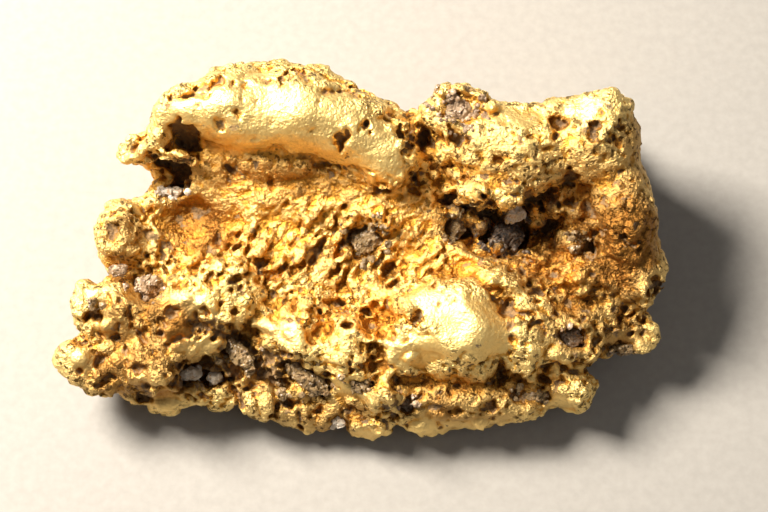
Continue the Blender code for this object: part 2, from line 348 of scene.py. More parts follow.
# Where each kind of surface lies on the face. Crust is what is left over.
ZONES: dict[Zone, tuple[Spot, ...]] = {
    Zone.WORN: (
        Spot(-36, 29.5, 7, 5.5, 20), Spot(-26, 29.0, 14, 8.2, 3), Spot(-11, 28.0, 13, 8.5, -12),
        Spot(0, 23, 8.5, 6.5, -40), Spot(5, 19.5, 4, 3.5, -40), Spot(-27, 36.2, 9, 2.8, 10), Spot(22.5, -14.5, 10.5, 6.8, -25),
        Spot(10.5, -20, 7.5, 3.8, -8), Spot(13, -9, 5, 3.2), Spot(31, 29.5, 8, 2.2),
        Spot(46, 31, 5, 2.3), Spot(41, -31.6, 4, 2.2, -20), Spot(-3, -29, 5, 2, -22),
        Spot(-37.4, -10.8, 7.5, 3.0, -6), Spot(-54.5, -15, 3.6, 3.2), Spot(-39.1, -18.1, 5, 3, -30), Spot(-49.5, -17.5, 3, 2.4, 20),
        Spot(-60, -23, 3.4, 3), Spot(-52, -21.8, 3, 2, -10), Spot(-17.4, -16.6, 8, 2.4, -22),
        Spot(-48.5, -8.5, 2.6, 2), Spot(-57, -9, 3.4, 2, -20), Spot(-49, -26, 3.4, 1.9, -10), Spot(-42.7, -31.2, 4, 2.4, 10),
        Spot(-32.7, -18.9, 3.4, 2, 10), Spot(15, -36.5, 6, 3), Spot(26, -36, 6, 2.4), Spot(1, -39, 5, 2.4),
        Spot(56, -18, 5, 2.5, 10),
    ),
    Zone.BLADES: (
        Spot(-22, 0, 13, 7.5, -8), Spot(-5, 3, 15, 8.5, -8), Spot(8, 0, 9, 8, -10), Spot(-33.5, -0.5, 6, 3.5, 20),
        Spot(36, -2, 12, 5, -10),
    ),
    Zone.PLATES: (
        Spot(47, 23, 14, 11), Spot(30, 22, 13, 6.5, -4), Spot(56, 19, 6, 7, 4), Spot(17, 24, 5, 5), Spot(14, -25, 12, 5, -10),
        Spot(41, -14, 12, 6, -8), Spot(-46, -17, 13, 10), Spot(-56, -11, 5, 6), Spot(-50, 3, 5, 5), Spot(-10, -33, 12, 5, -8),
        Spot(22, -31, 16, 4.5, 4), Spot(-30, -10, 9, 4, -12), Spot(-8, -20, 8, 4, -30),
    ),
    Zone.SCALES: (
        Spot(-37, 7, 8, 6.5, 10), Spot(-24, 13, 16, 6.5, -6), Spot(-6, 11, 14, 6.5, -12), Spot(6, 9.5, 8, 7, -15), Spot(23, -5, 8, 4, -20),
    ),
}

# Pits: (across, up, half length, half width, turn, depth, earth colour), in the face's millimetres. The earth colour
# is partly earth and partly painted shade.
# Knobs: the same, with a height in place of the depth and no earth colour.
RIDGE_PITS = (
    (-26.1, 32.9, 0.6, 0.4, 0, 1.2, 0.8), (-27.8, 29.8, 1.5, 0.5, -45, 1.2, 0.2),
    (-30.8, 27.6, 1.3, 0.8, -30, 1.5, 0.6), (-35.9, 31.4, 0.6, 0.6, 0, 0.8, 0.5),
    (-35.7, 29.3, 0.6, 0.4, 0, 0.8, 0.5), (-24.2, 28.7, 0.5, 0.4, 0, 0.7, 0.4),
    (-20, 28, 0.6, 0.5, 0, 0.8, 0.4), (-23, 32.3, 0.5, 0.4, 0, 0.7, 0.5),
    (-28.7, 36.3, 1.1, 0.6, 20, 1.6, 0.9), (-25.7, 37.6, 0.8, 0.5, 0, 1.2, 0.8),
    (-25.7, 35.9, 0.8, 0.6, 0, 1.2, 0.2), (-21, 36.8, 1.9, 0.5, 5, 1.4, 0.8),
    (-17.8, 37.4, 0.6, 0.6, 0, 1, 0.7), (0, 27.6, 1.3, 1.5, 0, 3.4, 1),
    (-5.5, 23.8, 1.1, 3.2, -18, 3.4, 0.9), (-3.2, 22.1, 0.6, 0.6, 0, 1, 0.5),
    (-4.2, 20.6, 0.6, 0.6, 0, 1, 0.5), (-15.7, 38, 1.1, 1.1, 0, 1.6, 0.7),
    (-12.8, 37.6, 1.5, 1.1, -20, 1.8, 0.8), (-0.8, 34.8, 1.9, 1.3, -20, 2, 0.8),
    (-10.2, 32.1, 0.5, 0.4, 0, 0.6, 0.4), (-14, 26.6, 0.6, 0.4, 30, 0.7, 0.2),
    (-7.6, 18.1, 1.3, 0.6, -20, 1.4, 0.5),
)
TOP_PITS = (
    (11, 25.3, 3.4, 2.3, 0, 2.6, 0.4), (10.4, 16.8, 1.1, 2.1, -10, 3.2, 0.9),
    (19.1, 33.8, 1.1, 0.8, 0, 2.4, 0.9), (18.5, 29.8, 1.5, 0.4, 20, 1.6, 0.8),
    (27.6, 30, 0.6, 0.6, 0, 1.2, 0.6), (29.3, 28.7, 0.6, 0.6, 0, 1.2, 0.6),
    (41.2, 28.3, 1.9, 1.7, 0, 1.8, 0.7), (40.2, 25.1, 1.1, 1.1, 0, 2.2, 0.8),
    (43.6, 16.6, 1.3, 1.3, 20, 3, 1), (57, 2.3, 1.3, 0.8, 0, 2.4, 0.9),
    (51.8, 24.6, 0.6, 0.5, 0, 1.6, 0.1), (58.2, 15.9, 0.6, 0.5, 0, 1, 0.6),
    (53.6, 12.5, 0.6, 0.6, 0, 1, 0.5), (34.8, 25.7, 0.8, 0.6, 0, 1, 0.5),
    (46.5, 10.6, 1.1, 0.6, 20, 1.4, 0.7), (54, 18.1, 0.6, 0.6, 0, 1, 0.6),
    (59.3, 9.1, 0.6, 0.6, 0, 1, 0.6), (36.1, 19.1, 0.8, 0.6, -30, 1.2, 0.6),
    (31.2, 15.5, 1.1, 0.6, 0, 1.4, 0.6),
)
TROUGH_PITS = (
    (-28.5, 18.3, 1.7, 1.3, 0, 2.1, 0.35), (-29.1, 15.5, 0.8, 0.6, 0, 1.1, 0.3),
    (-20.2, 14.9, 0.8, 0.8, 0, 1.4, 0.3), (3, 14, 1.7, 1.7, 20, 2.1, 0.4),
    (-42.7, 0.4, 1.9, 1.9, 0, 1.3, 0.17), (-46.3, 4.5, 1.9, 0.8, 50, 1.4, 0.4),
    (-10.6, -0.6, 0.6, 1.9, -35, 1.5, 0.4), (-9.6, 3, 0.6, 1.5, -35, 1.3, 0.35),
    (-28.5, -5.5, 1.7, 0.8, 10, 1.7, 0.45), (-22.7, -1.7, 1.7, 0.5, 10, 1.3, 0.35),
    (14.2, -6.4, 0.8, 1.1, 0, 1.8, 0.45), (0, 3.2, 3.6, 3.2, 0, 2.4, 0.7),
    (-27.2, 3, 1.9, 2.1, 0, 0.8, 0.03), (5.3, -4.2, 1.9, 2.6, 0, 1.2, 0.05),
    (-37.4, 1.9, 1.3, 0.8, 30, 1, 0.25), (-17.4, 10.6, 1.1, 0.6, 30, 1, 0.2),
    (-4.5, 10.4, 1.1, 0.6, -20, 1, 0.2), (-12.3, 6.8, 0.6, 1.3, -30, 1, 0.2),
    (-34.2, -1.5, 1.1, 0.6, 40, 1, 0.25), (9.8, 3.2, 1.1, 0.8, 0, 0.8, 0.15),
)
HOLLOW_PITS = (
    (28.5, 1.1, 3.6, 2.1, -10, 2.5, 0.9), (23.2, 1.5, 3, 1.7, -20, 1.6, 0.1),
    (38.9, 6.8, 2.1, 1.9, 0, 2.5, 0.9), (46.1, 1.9, 2.3, 3, 30, 2.4, 0.9),
    (35.7, 13.2, 2.1, 1.1, 0, 2.4, 0.9), (33.4, -3.2, 0.6, 2.1, -10, 2.4, 0.9),
    (35.1, -1.3, 0.8, 0.8, 0, 2, 0.9), (18.3, -2.3, 0.6, 0.6, 0, 1.4, 0.7),
    (21.2, -2.1, 0.6, 0.6, 0, 1.4, 0.7), (48.4, -4.2, 0.8, 0.6, 0, 1.2, 0.2),
    (40.4, -7.4, 0.8, 0.6, 0, 1.4, 0.5), (26.4, 5.7, 1.7, 1.5, 0, 1.8, 0.9),
)
RIGHT_PITS = (
    (61.8, -7.4, 1.7, 2.6, 0, 4, 1), (54.6, -11.3, 0.8, 0.8, 0, 2.4, 0.9),
    (58.9, -13.6, 0.8, 0.8, 0, 2.4, 0.9), (55.9, -16.6, 0.8, 0.6, 0, 2.2, 0.9),
    (58.9, -16.8, 0.6, 0.6, 0, 2, 0.9), (54.8, -20, 2.1, 1.1, 10, 2.4, 1),
    (29.3, -24.2, 1.1, 0.8, 20, 2.6, 1), (43.1, -21.5, 0.6, 0.5, 0, 1.8, 0.8),
    (44.4, -22.5, 0.6, 0.4, 0, 1.6, 0.8), (37.6, -25.7, 1.7, 2.1, -20, 2.4, 0.15),
    (43.6, -17.2, 2.6, 1.7, 0, 2.4, 0.8), (40.8, -12.1, 0.6, 0.6, 0, 2, 1),
    (37.8, -16.2, 0.6, 0.6, 0, 2, 1), (31.7, -30, 1.3, 1.1, 0, 2, 0.9),
    (35.3, -30.2, 3.4, 1.3, 12, 2, 0.7), (25.9, -32.1, 2.3, 1.1, 12, 2, 0.6),
    (10.8, -29.8, 1.3, 0.6, 10, 2, 0.8), (8.1, -31.4, 1.3, 1.3, 0, 2, 0.5),
    (49.3, -8.7, 1.3, 0.8, 20, 1.6, 0.5), (51.8, -5.3, 0.8, 0.6, 0, 1.4, 0.6),
    (45.9, -13.4, 0.8, 0.6, 0, 1.4, 0.7), (36.1, -9.6, 0.8, 0.6, 0, 1.4, 0.7),
)
CENTRE_PITS = (
    (-9.1, -15.9, 2.6, 2.3, 0, 2.4, 0.05), (2.1, -14.2, 3.8, 3.4, -20, 2.4, 0.05),
    (1.5, -22.7, 2.6, 2.6, 0, 2, 0.05), (-4, -15.1, 1.3, 0.8, 0, 2.4, 0.8),
    (-5.1, -11.3, 2.1, 0.5, -35, 1.8, 0.8), (4.7, -10.8, 0.5, 1.3, 20, 2, 0.8),
    (11, -13.4, 1.1, 1.3, 0, 2, 0.7), (-7.9, -25.5, 1.3, 0.6, -15, 1.8, 0.8),
    (-3.4, -23.8, 0.6, 1.3, -10, 2, 0.8), (0, -27.8, 1.9, 0.8, -20, 2.2, 0.9),
    (18.9, -7.9, 0.5, 0.4, 0, 0.9, 0.2), (21.7, -7.9, 0.5, 0.4, 0, 0.9, 0.2),
    (24.2, -8.1, 0.5, 0.4, 0, 0.9, 0.2), (18.9, -9.8, 0.5, 0.4, 0, 0.8, 0.2),
    (15.9, -10.6, 0.6, 0.5, 0, 1, 0.3), (-14, -13.4, 1.1, 0.8, 0, 1.6, 0.6),
    (-17.2, -9.6, 0.8, 0.8, 0, 1.6, 0.6), (-12.3, -20.2, 0.8, 0.6, 20, 1.4, 0.5),
    (8.3, -18.1, 0.8, 0.6, 0, 1.2, 0.4), (6.4, -26.1, 1.1, 0.6, -20, 1.4, 0.6),
)
FRONT_PITS = (
    (-28, -24.9, 1.5, 1.9, 0, 3, 0.9), (-35.5, -25.3, 4, 1.5, -5, 2.4, 0.9),
    (-17, -31.2, 1.1, 1.1, 0, 2.6, 1), (-23.4, -29.8, 0.8, 0.6, 0, 1.2, 0.6),
    (-10.2, -32.9, 1.1, 0.6, 20, 1.4, 0.7), (-1.3, -34.6, 0.8, 0.6, 0, 1, 0.5),
    (1.9, -37.2, 0.6, 0.6, 0, 1, 0.5), (15.7, -29.8, 1.1, 0.6, 10, 1.4, 0.7),
    (20, -32.9, 0.8, 0.6, 0, 1.2, 0.6), (18.9, -27.6, 1.1, 0.6, -15, 1.4, 0.7),
)
LEFT_PITS = (
    (-46.1, -6.6, 3.6, 3.2, 0, 2.6, 0.7), (-39.5, -6, 1.5, 1.5, 0, 2, 0.15),
    (-52.5, -3.2, 1.7, 1.1, 15, 1.6, 0.6), (-57.8, -12.8, 1.7, 1.1, 20, 3, 0.9),
    (-54.2, 4.7, 1.7, 1.9, 0, 1.6, 0.7), (-54.4, 8.5, 0.6, 0.6, 0, 1.2, 0.6),
    (-51.4, 10, 0.6, 0.6, 0, 1.2, 0.6), (-41.4, -12.3, 1.9, 0.8, 10, 2.6, 1),
    (-43.1, -14.7, 0.6, 1.1, 0, 2, 0.9), (-44.2, -17, 0.8, 0.6, 0, 2, 0.9),
    (-53.3, -17.8, 1.3, 0.8, 0, 2, 0.9), (-56.5, -21.9, 1.5, 1.3, 0, 2.6, 0.8),
    (-48.2, -23.8, 1.3, 1.1, 0, 2, 0.8), (-47.2, -30, 1.5, 1.5, 20, 2.6, 1),
    (-39.3, -27.2, 2.3, 1.3, 0, 2.6, 1), (-34.2, -12.1, 1.1, 0.8, 0, 1.6, 0.7),
    (-30.6, -9.6, 0.8, 0.8, 0, 1.6, 0.6), (-33.2, -6.4, 1.1, 0.8, 20, 1.6, 0.6),
    (-59.7, -18.1, 1.1, 0.6, 0, 1.6, 0.7), (-60.8, -24.9, 0.8, 0.8, 0, 1.6, 0.7),
    (-52.3, -9.6, 0.8, 0.6, 0, 1.4, 0.7), (-37.4, -15.9, 1.1, 0.6, 10, 1.6, 0.7),
    (-50.6, -13.4, 0.8, 0.6, 0, 1.4, 0.6), (-57, -27.6, 1.1, 0.6, 10, 1.4, 0.7),
)
LEFT_KNOBS = (
    (-45.5, -1.9, 1.5, 1.1, 0, 1.3), (-38, -9.6, 1.5, 1.1, 0, 1.3), (-44.8, -4.2, 0.6, 0.6, 0, 1.2),
    (-32.7, -18.9, 3.2, 1.7, 10, 1.6), (-44, -24.4, 2.8, 3.4, 0, 2.2),
    (-42.7, -31.2, 3.6, 1.9, 10, 1.8), (-49.9, 1.1, 1.7, 1.3, 30, 1.2),
    (-34.2, -8.7, 1.3, 1.1, 0, 1.2), (-41.6, -15.9, 1.9, 1.7, 0, 1.4),
    (-49.1, -14.9, 1.9, 1.7, 0, 1.4), (-54.8, -14.9, 2.1, 1.5, 10, 1.4),
    (-59.7, -14.9, 1.7, 1.9, 0, 1.2), (-52.7, -22.3, 1.9, 1.9, 0, 1.5),
    (-60.8, -21.9, 1.9, 1.9, 0, 1.5), (-55.5, -7, 2.1, 1.3, 20, 1.4), (-30, -13.4, 1.7, 1.3, -30, 1.2),
    (-33.2, -23.6, 1.5, 1.1, 0, 1.0), (-25.7, -9.6, 1.7, 1.3, 30, 1.2), (-48, -19.1, 1.7, 1.3, 0, 1.3),
    (-37.4, -20.2, 1.7, 1.3, 0, 1.3), (-57.4, 3.2, 1.3, 2.1, 0, 1.2), (-52.3, 7, 1.9, 1.3, 20, 1.2),
    (-34.6, -10.4, 3.2, 2.1, -10, 1.5), (-41.0, -11.4, 2.4, 1.8, 15, 1.2), (-56.6, -8.8, 2.6, 1.6, -25, 1.5),
    (-51.8, -12.0, 1.6, 2.8, -10, 1.4), (-44.6, -12.6, 1.6, 2.2, 20, 1.2), (-40.6, -18.6, 2.6, 1.8, -30, 1.5),
    (-48.0, -25.8, 2.8, 1.8, -10, 1.4), (-20.4, -15.4, 2.9, 1.6, -24, 1.4), (-15.0, -17.4, 2.6, 1.5, -20, 1.3),
    (-24.6, -13.6, 2.6, 1.6, -30, 1.3), (-28.6, -6.2, 2.4, 1.4, 10, 1.2), (-57.6, -17.2, 2.4, 1.2, 25, 1.3),
)
TOP_KNOBS = (
    (16.4, 21, 1.7, 1.9, 0, 2.2), (10.6, 26.4, 0.8, 2.6, 0, 2.0), (14.4, 25.7, 1.9, 1.7, 0, 2.0),
    (47.6, 25.9, 1.1, 1.1, 0, 1.2), (51.6, 26.8, 1.1, 0.8, 0, 1.2), (49.7, 28.3, 1.1, 0.8, 0, 1.2),
    (37.8, 30.8, 0.8, 0.6, 0, 0.9), (22.1, 20.2, 1.5, 1.3, 0, 1.4), (32.3, 20.6, 1.5, 1.3, 0, 1.0),
    (7.2, 17, 1.1, 1.3, 0, 1.3), (12.5, 13.8, 1.7, 1.3, -20, 1.4), (23.4, 23.4, 1.7, 1.3, 10, 1.2),
    (17.2, 34.6, 1.9, 1.1, 10, 1.3), (23.6, 34.6, 2.1, 1.1, -20, 1.4),
    (9.3, 20.8, 1.5, 1.1, -30, 1.5), (12.6, 19.0, 1.4, 1.2, 20, 1.7), (14.6, 17.2, 1.3, 1.0, -20, 1.4),
    (11.0, 28.6, 1.6, 1.0, 25, 1.4), (7.6, 23.6, 1.0, 1.6, -15, 1.2), (15.6, 28.3, 1.2, 0.9, 0, 1.5),
    (18.6, 18.2, 1.6, 1.2, 0, 1.4), (20.6, 16.4, 1.5, 1.1, 25, 1.3), (26.2, 18.6, 1.5, 1.2, -15, 1.2),
    (5.2, 15.9, 1.3, 0.9, -20, 1.0), (8.7, 12.2, 1.4, 1.0, 15, 1.2), (13.2, 31.0, 1.1, 1.3, 0, 1.3),
)
HOLLOW_KNOBS = (
    (17.6, 13.6, 1.5, 1.3, 0, 2.4), (20.8, 11.9, 1.3, 1.3, 0, 2.4), (23.2, 12.1, 1.3, 1.3, 0, 2.4),
    (25.1, 13.8, 1.5, 1.3, 0, 2.4), (30.2, 11.5, 2.3, 1.5, 0, 2.6), (19.6, 8.9, 1.1, 1.1, 0, 1.8),
    (23.4, 7, 1.9, 1.7, 0, 2.4), (35.1, 7.2, 1.9, 2.1, 0, 2.4), (37, 10.4, 1.1, 1.3, 0, 1.8),
    (41.2, 4, 1.7, 1.7, 0, 2.4), (43.8, 0.8, 1.9, 1.9, 0, 2.4), (51, 2.6, 2.1, 2.1, 0, 2.4),
    (41.2, 11.7, 1.9, 1.3, 0, 2.0), (45.5, 9.6, 1.7, 1.3, 0, 1.8), (48.7, 7, 1.5, 1.5, 0, 1.8),
    (38.7, -0.2, 1.7, 1.3, 20, 2.0), (46.3, -3.2, 1.9, 1.3, 10, 1.8), (50.6, -4.9, 1.7, 1.3, -20, 1.6),
    (38, -5.3, 1.9, 0.8, -10, 1.6), (42.5, -5.5, 1.9, 0.8, 5, 1.6), (31, -6, 1.7, 1.1, -20, 1.6),
)
RIGHT_KNOBS = (
    (32.1, -13.8, 1.1, 0.8, 0, 1.4), (32.7, -16.4, 1.3, 1.1, 0, 1.4), (34, -32.3, 1.7, 1.1, 0, 1.2),
    (49.3, -7.9, 3.2, 1.1, -10, 1.6), (37, -13.4, 1.7, 1.5, 0, 1.4), (40.2, -9.1, 2.1, 1.3, 0, 1.4),
    (44.4, -9.6, 1.7, 1.3, 0, 1.2), (34.8, -20.2, 1.7, 1.9, 0, 1.5), (49.7, -15.9, 1.7, 1.5, 0, 1.4),
    (58.2, -19.1, 1.7, 1.3, 0, 1.2), (52.9, -14.9, 1.5, 1.3, 0, 1.2), (39.7, -20.6, 1.7, 1.5, 0, 1.4),
    (41.2, -24.9, 1.9, 1.3, 0, 1.2), (59.3, -9.6, 1.3, 1.7, 0, 1.4), (34.4, -24.9, 1.5, 1.7, 0, 1.3),
    (30, -27.6, 1.9, 1.1, 10, 1.3),
)
CENTRE_KNOBS = (
    (-3.6, -19.1, 2.1, 1.7, 0, 1.4), (-5.5, -22.3, 2.6, 1.3, -20, 1.5), (7.2, -15.9, 1.7, 1.7, 0, 1.2),
    (-13, -9.6, 2.1, 1.3, -20, 1.4), (-7.6, -8.5, 2.1, 1.3, -15, 1.3), (-1.3, -8.7, 1.9, 1.3, 10, 1.3),
    (5.5, -7.9, 1.7, 1.5, 0, 1.3), (-14, -19.1, 1.9, 1.7, 0, 1.4), (-2.3, -30.8, 2.6, 1.5, -20, 1.4),
    (4, -29.8, 1.9, 1.3, -30, 1.3), (-19.3, -15.9, 2.1, 1.5, -30, 1.4),
    (-22.1, -12.1, 1.9, 1.5, -20, 1.3), (-16.6, -23.4, 1.9, 1.5, -30, 1.3),
    (9.8, -21.2, 2.1, 1.1, 30, 1.2),
)
FRONT_KNOBS = (
    (-1.5, -35.9, 1.7, 1.9, 0, 1.2), (2.6, -36.1, 1.7, 2.1, 0, 1.2), (11.5, -35.9, 2.1, 1.7, 0, 1.2),
    (15.9, -33.4, 1.9, 1.7, 0, 1.3), (21, -30.4, 2.1, 1.5, 0, 1.3), (24.2, -35.1, 1.9, 1.5, 0, 1.2),
    (-24.6, -31.4, 1.3, 2.6, 15, 1.2), (-21.2, -31.2, 1.3, 2.6, 0, 1.2),
    (-18.1, -33.4, 1.3, 1.5, 0, 1.0), (-13, -33.4, 1.7, 1.9, 0, 1.2), (-8.7, -34.6, 1.7, 1.7, 0, 1.2),
    (13.6, -26.1, 2.1, 1.1, -10, 1.2), (-34.2, -30.4, 1.9, 1.3, 0, 1.2),
    (-28.9, -29.1, 1.5, 1.3, 0, 1.2), (-14, -29.1, 1.7, 1.3, -30, 1.2),
)

# Cavities: (rim, depth, earth colour), each rim drawn round the face in millimetres. The earth colour is partly earth
# and partly painted shade.
RIDGE_CAVITIES = (
    Cavity(((-39.9, 33.1), (-38.9, 34.6), (-37.4, 35.1), (-36.1, 34.9), (-35.5, 34), (-33.8, 34.6),
        (-32.3, 35.1), (-32.5, 34.2), (-34.2, 33.8), (-36.3, 33.4), (-37.8, 33.1)), 3, 1),
    Cavity(((-32.9, 35.3), (-32.7, 36.3), (-31.9, 37.2), (-31.2, 37.6), (-31.7, 36.3), (-31.9, 35.3)),
        1.6, 0.8),
    Cavity(((-41.6, 32.5), (-41.2, 33.4), (-40.6, 33.1), (-41, 32.5)), 1.2, 0.8),
    Cavity(((-26.8, 32.5), (-26.3, 33.4), (-25.5, 33.4), (-25.3, 32.9), (-25.9, 32.3)), 1.5, 0.9),
    Cavity(((-32.5, 28.9), (-31.2, 29.1), (-29.8, 28.7), (-30.6, 28.1), (-29.8, 26.6), (-30.8, 25.9),
        (-32.1, 26.1), (-31.2, 27.2), (-32.3, 28.1)), 1.8, 0.5),
    Cavity(((-18.1, 39.1), (-17, 39.7), (-14.9, 39.7), (-13.2, 39.1), (-12.1, 37.8), (-13, 37), (-14.2,
        37.8), (-15.5, 37.2), (-17, 37.8)), 2.5, 0.7),
    Cavity(((-18.7, 37.6), (-18.1, 38.2), (-17.4, 37.4), (-17.6, 36.1), (-18.3, 36.3)), 2, 0.9),
    Cavity(((-26.1, 37.6), (-25.1, 37.8), (-24.6, 37.2), (-25.3, 36.8), (-25.9, 37.2)), 1.2, 0.6),
    Cavity(((-10.4, 35.5), (-9.1, 35.9), (-7.4, 35.1), (-5.3, 34.2), (-7.4, 34.4), (-9.3, 34.9)), 1.5,
        0.9),
    Cavity(((-4.2, 34), (-4.2, 35.7), (-3.2, 36.1), (-1.5, 35.7), (-0.4, 34.6), (0.6, 34), (-0.6, 33.4),
        (-1.9, 33.1), (-2.8, 34.2), (-3.6, 34.6)), 2.6, 0.6),
    Cavity(((-1.1, 28.1), (-0.4, 28.7), (0.4, 27.8), (1.1, 27), (1.3, 25.9), (0.2, 25.9), (-0.8, 26.8)),
        2.6, 0.6),
    Cavity(((-3.8, 26.8), (-3.4, 26.3), (-4, 24.4), (-4.2, 22.9), (-4.9, 23.8), (-4.7, 25.5)), 3, 0.9),
    Cavity(((-6.8, 22.9), (-6.8, 24.2), (-6, 24.6), (-4.9, 24), (-4.9, 22.7), (-6, 22.3)), 2.6, 0.5),
)
WINDOW_CAVITIES = (
    Cavity(((-41.2, 27), (-41.4, 28.1), (-40.2, 29.1), (-38.9, 28.7), (-37.6, 27.4), (-35.7, 27), (-35.3,
        25.5), (-35.3, 23.2), (-34.6, 21.7), (-35.9, 22.1), (-37.4, 22.5), (-39.1, 22.9), (-40.4, 23.6),
        (-40.8, 24.9)), 4, 0.95),
    Cavity(((-47.8, 22.3), (-46.3, 21.9), (-44.2, 21.9), (-43.1, 21.2), (-41.2, 20.6), (-39.5, 21.2),
        (-37.4, 21), (-35.3, 20.6), (-36.5, 20), (-37.4, 18.1), (-36.8, 15.9), (-37.2, 13.8), (-38.2,
        12.8), (-39.9, 12.5), (-41.6, 12.8), (-41.9, 14.2), (-41.2, 15.9), (-41.4, 18.1), (-42.9, 18.7),
        (-44.6, 18.9), (-45.9, 20.4)), 5.5, 1),
    Cavity(((-31.4, 19.3), (-29.8, 19.8), (-28.5, 19.1), (-27, 17.6), (-27.2, 16.8), (-28.3, 17), (-29.5,
        18.1), (-30.8, 18.7)), 3, 1),
    Cavity(((-29.8, 15.9), (-29.1, 17), (-28.7, 16.1), (-28.3, 14.4), (-29.1, 14), (-29.8, 14.9)), 2,
        0.9),
    Cavity(((-21.7, 15.1), (-20.4, 15.3), (-18.9, 14.7), (-20.4, 14.2), (-21.2, 14.4)), 1.4, 0.9),
)
TOP_CAVITIES = (
    Cavity(((6.8, 28.3), (7.9, 27), (8.9, 25.5), (10, 23.8), (11.3, 22.7), (9.8, 22.3), (8.1, 23.6), (7.2,
        25.3)), 4.5, 1),
    Cavity(((11.3, 27.2), (12.5, 27.2), (13.8, 26.1), (12.8, 24.9), (13.6, 23.8), (15.3, 23.2), (13.8,
        22.5), (11.7, 23.2), (10.8, 24.4), (11.7, 25.7)), 5, 1),
    Cavity(((7.6, 29.3), (8.9, 30.2), (10.6, 30.4), (10.2, 29.1), (8.7, 28.7)), 1.4, 0.5),
    Cavity(((9.1, 18.3), (10.2, 18.3), (11.7, 17.6), (11.3, 16.4), (11.9, 14.4), (10.8, 15.1), (9.6,
        15.9), (9.1, 17)), 4, 1),
    Cavity(((18.1, 33.4), (18.1, 34.4), (18.9, 34.9), (20, 34), (19.6, 33.1)), 3, 1),
    Cavity(((20.6, 31.7), (21.9, 32.9), (22.9, 32.3), (22.9, 30.2), (21.2, 30.6)), 2.5, 0.8),
    Cavity(((17, 30.2), (18.3, 29.8), (19.8, 29.5), (18.5, 28.9), (17.2, 29.3)), 1.4, 0.9),
    Cavity(((17.8, 27.2), (18.9, 26.6), (20.4, 26.6), (21.2, 25.3), (20.8, 23.8), (19.3, 22.5), (18.5,
        24.2), (17.6, 25.9)), 3.2, 0.8),
    Cavity(((41.9, 15.7), (42.7, 16.4), (42.3, 17.6), (44.2, 18.1), (44.2, 16.6), (45.5, 15.5), (44,
        14.7), (42.9, 13.8), (42.3, 14.7)), 3, 1),
    Cavity(((46.1, 25.9), (47.6, 26.8), (48, 28.5), (49.3, 29.3), (49.9, 30.2), (50.1, 28.9), (51.4,
        28.3), (50.4, 26.8), (49.5, 25.7), (50.1, 24.6), (49.1, 23.6), (47.4, 24)), 2.6, 0.6),
    Cavity(((50.6, 24.9), (51.6, 25.7), (53.1, 25.5), (53.5, 24.2), (52.1, 23.8)), 1.6, 0.2),
)
HOLLOW_CAVITIES = (
    Cavity(((14.9, 11), (16.6, 12.5), (17.4, 13.6), (18.9, 13.2), (20.4, 11.7), (21.7, 11), (23.6, 11.3),
        (24.2, 12.8), (24.6, 13.6), (25.9, 12.5), (27.2, 11.3), (28.5, 9.6), (30.2, 9.1), (32.3, 10),
        (33.6, 11.9), (34, 13.2), (35.7, 13.6), (38, 13.2), (38.9, 14.2), (40.8, 14.9), (41.2, 13.6),
        (40.8, 12.3), (41.4, 10.8), (40.4, 9.3), (39.3, 8.3), (41.2, 7.9), (41.2, 5.7), (39.5, 4.9),
        (39.1, 3.4), (37.8, 4.5), (36.3, 4.9), (36.8, 9.1), (35.3, 9.3), (34.6, 5.3), (34, 1.5), (31.9,
        0.6), (30.6, -0.6), (28.9, -1.5), (27.2, -0.4), (25.5, 1.5), (24.9, 3.2), (23.4, 4), (22.1, 3),
        (21.2, 4), (20, 3), (18.9, 4.2), (17.4, 4.9), (16.6, 6.2), (16.8, 7.6), (17.8, 9.3), (17, 10.2)),
        7, 0.95),
    Cavity(((43.4, 5.3), (45, 5.7), (46.8, 4.5), (47.6, 3.2), (48.9, 3.2), (49.3, 1.1), (48.4, -1.5),
        (46.5, -1.7), (44.2, -1.5), (44, -0.6), (45.3, 0.2), (45, 1.5), (43.6, 3.2)), 4.5, 0.9),
    Cavity(((48.9, 4.9), (50.4, 5.7), (52.3, 5.1), (54, 4.7), (55.7, 3.6), (57.4, 3), (58.6, 2.5), (57.6,
        1.3), (55.7, 1.7), (54, 3.4), (51.9, 4.2), (50.1, 4.2)), 2.6, 0.9),
    Cavity(((33.6, -7.6), (34.9, -7), (36.3, -6.4), (38.2, -7.4), (38.7, -8.7), (37.2, -9.1), (34.9,
        -8.7)), 3.2, 0.9),
    Cavity(((13.2, -6.4), (14.2, -5.1), (15.3, -5.7), (14.4, -7.4), (13.6, -7.2)), 2.6, 0.8),
    Cavity(((41.2, 11.3), (42.5, 12.1), (44.4, 11.5), (45, 10.4), (43.4, 10), (41.6, 10.4)), 2.4, 0.9),
    Cavity(((45.5, 10.6), (47.2, 11), (48.9, 9.6), (49.7, 7.9), (48.4, 7), (47, 8.3), (45.7, 9.6)), 2.2,
        0.9),
)
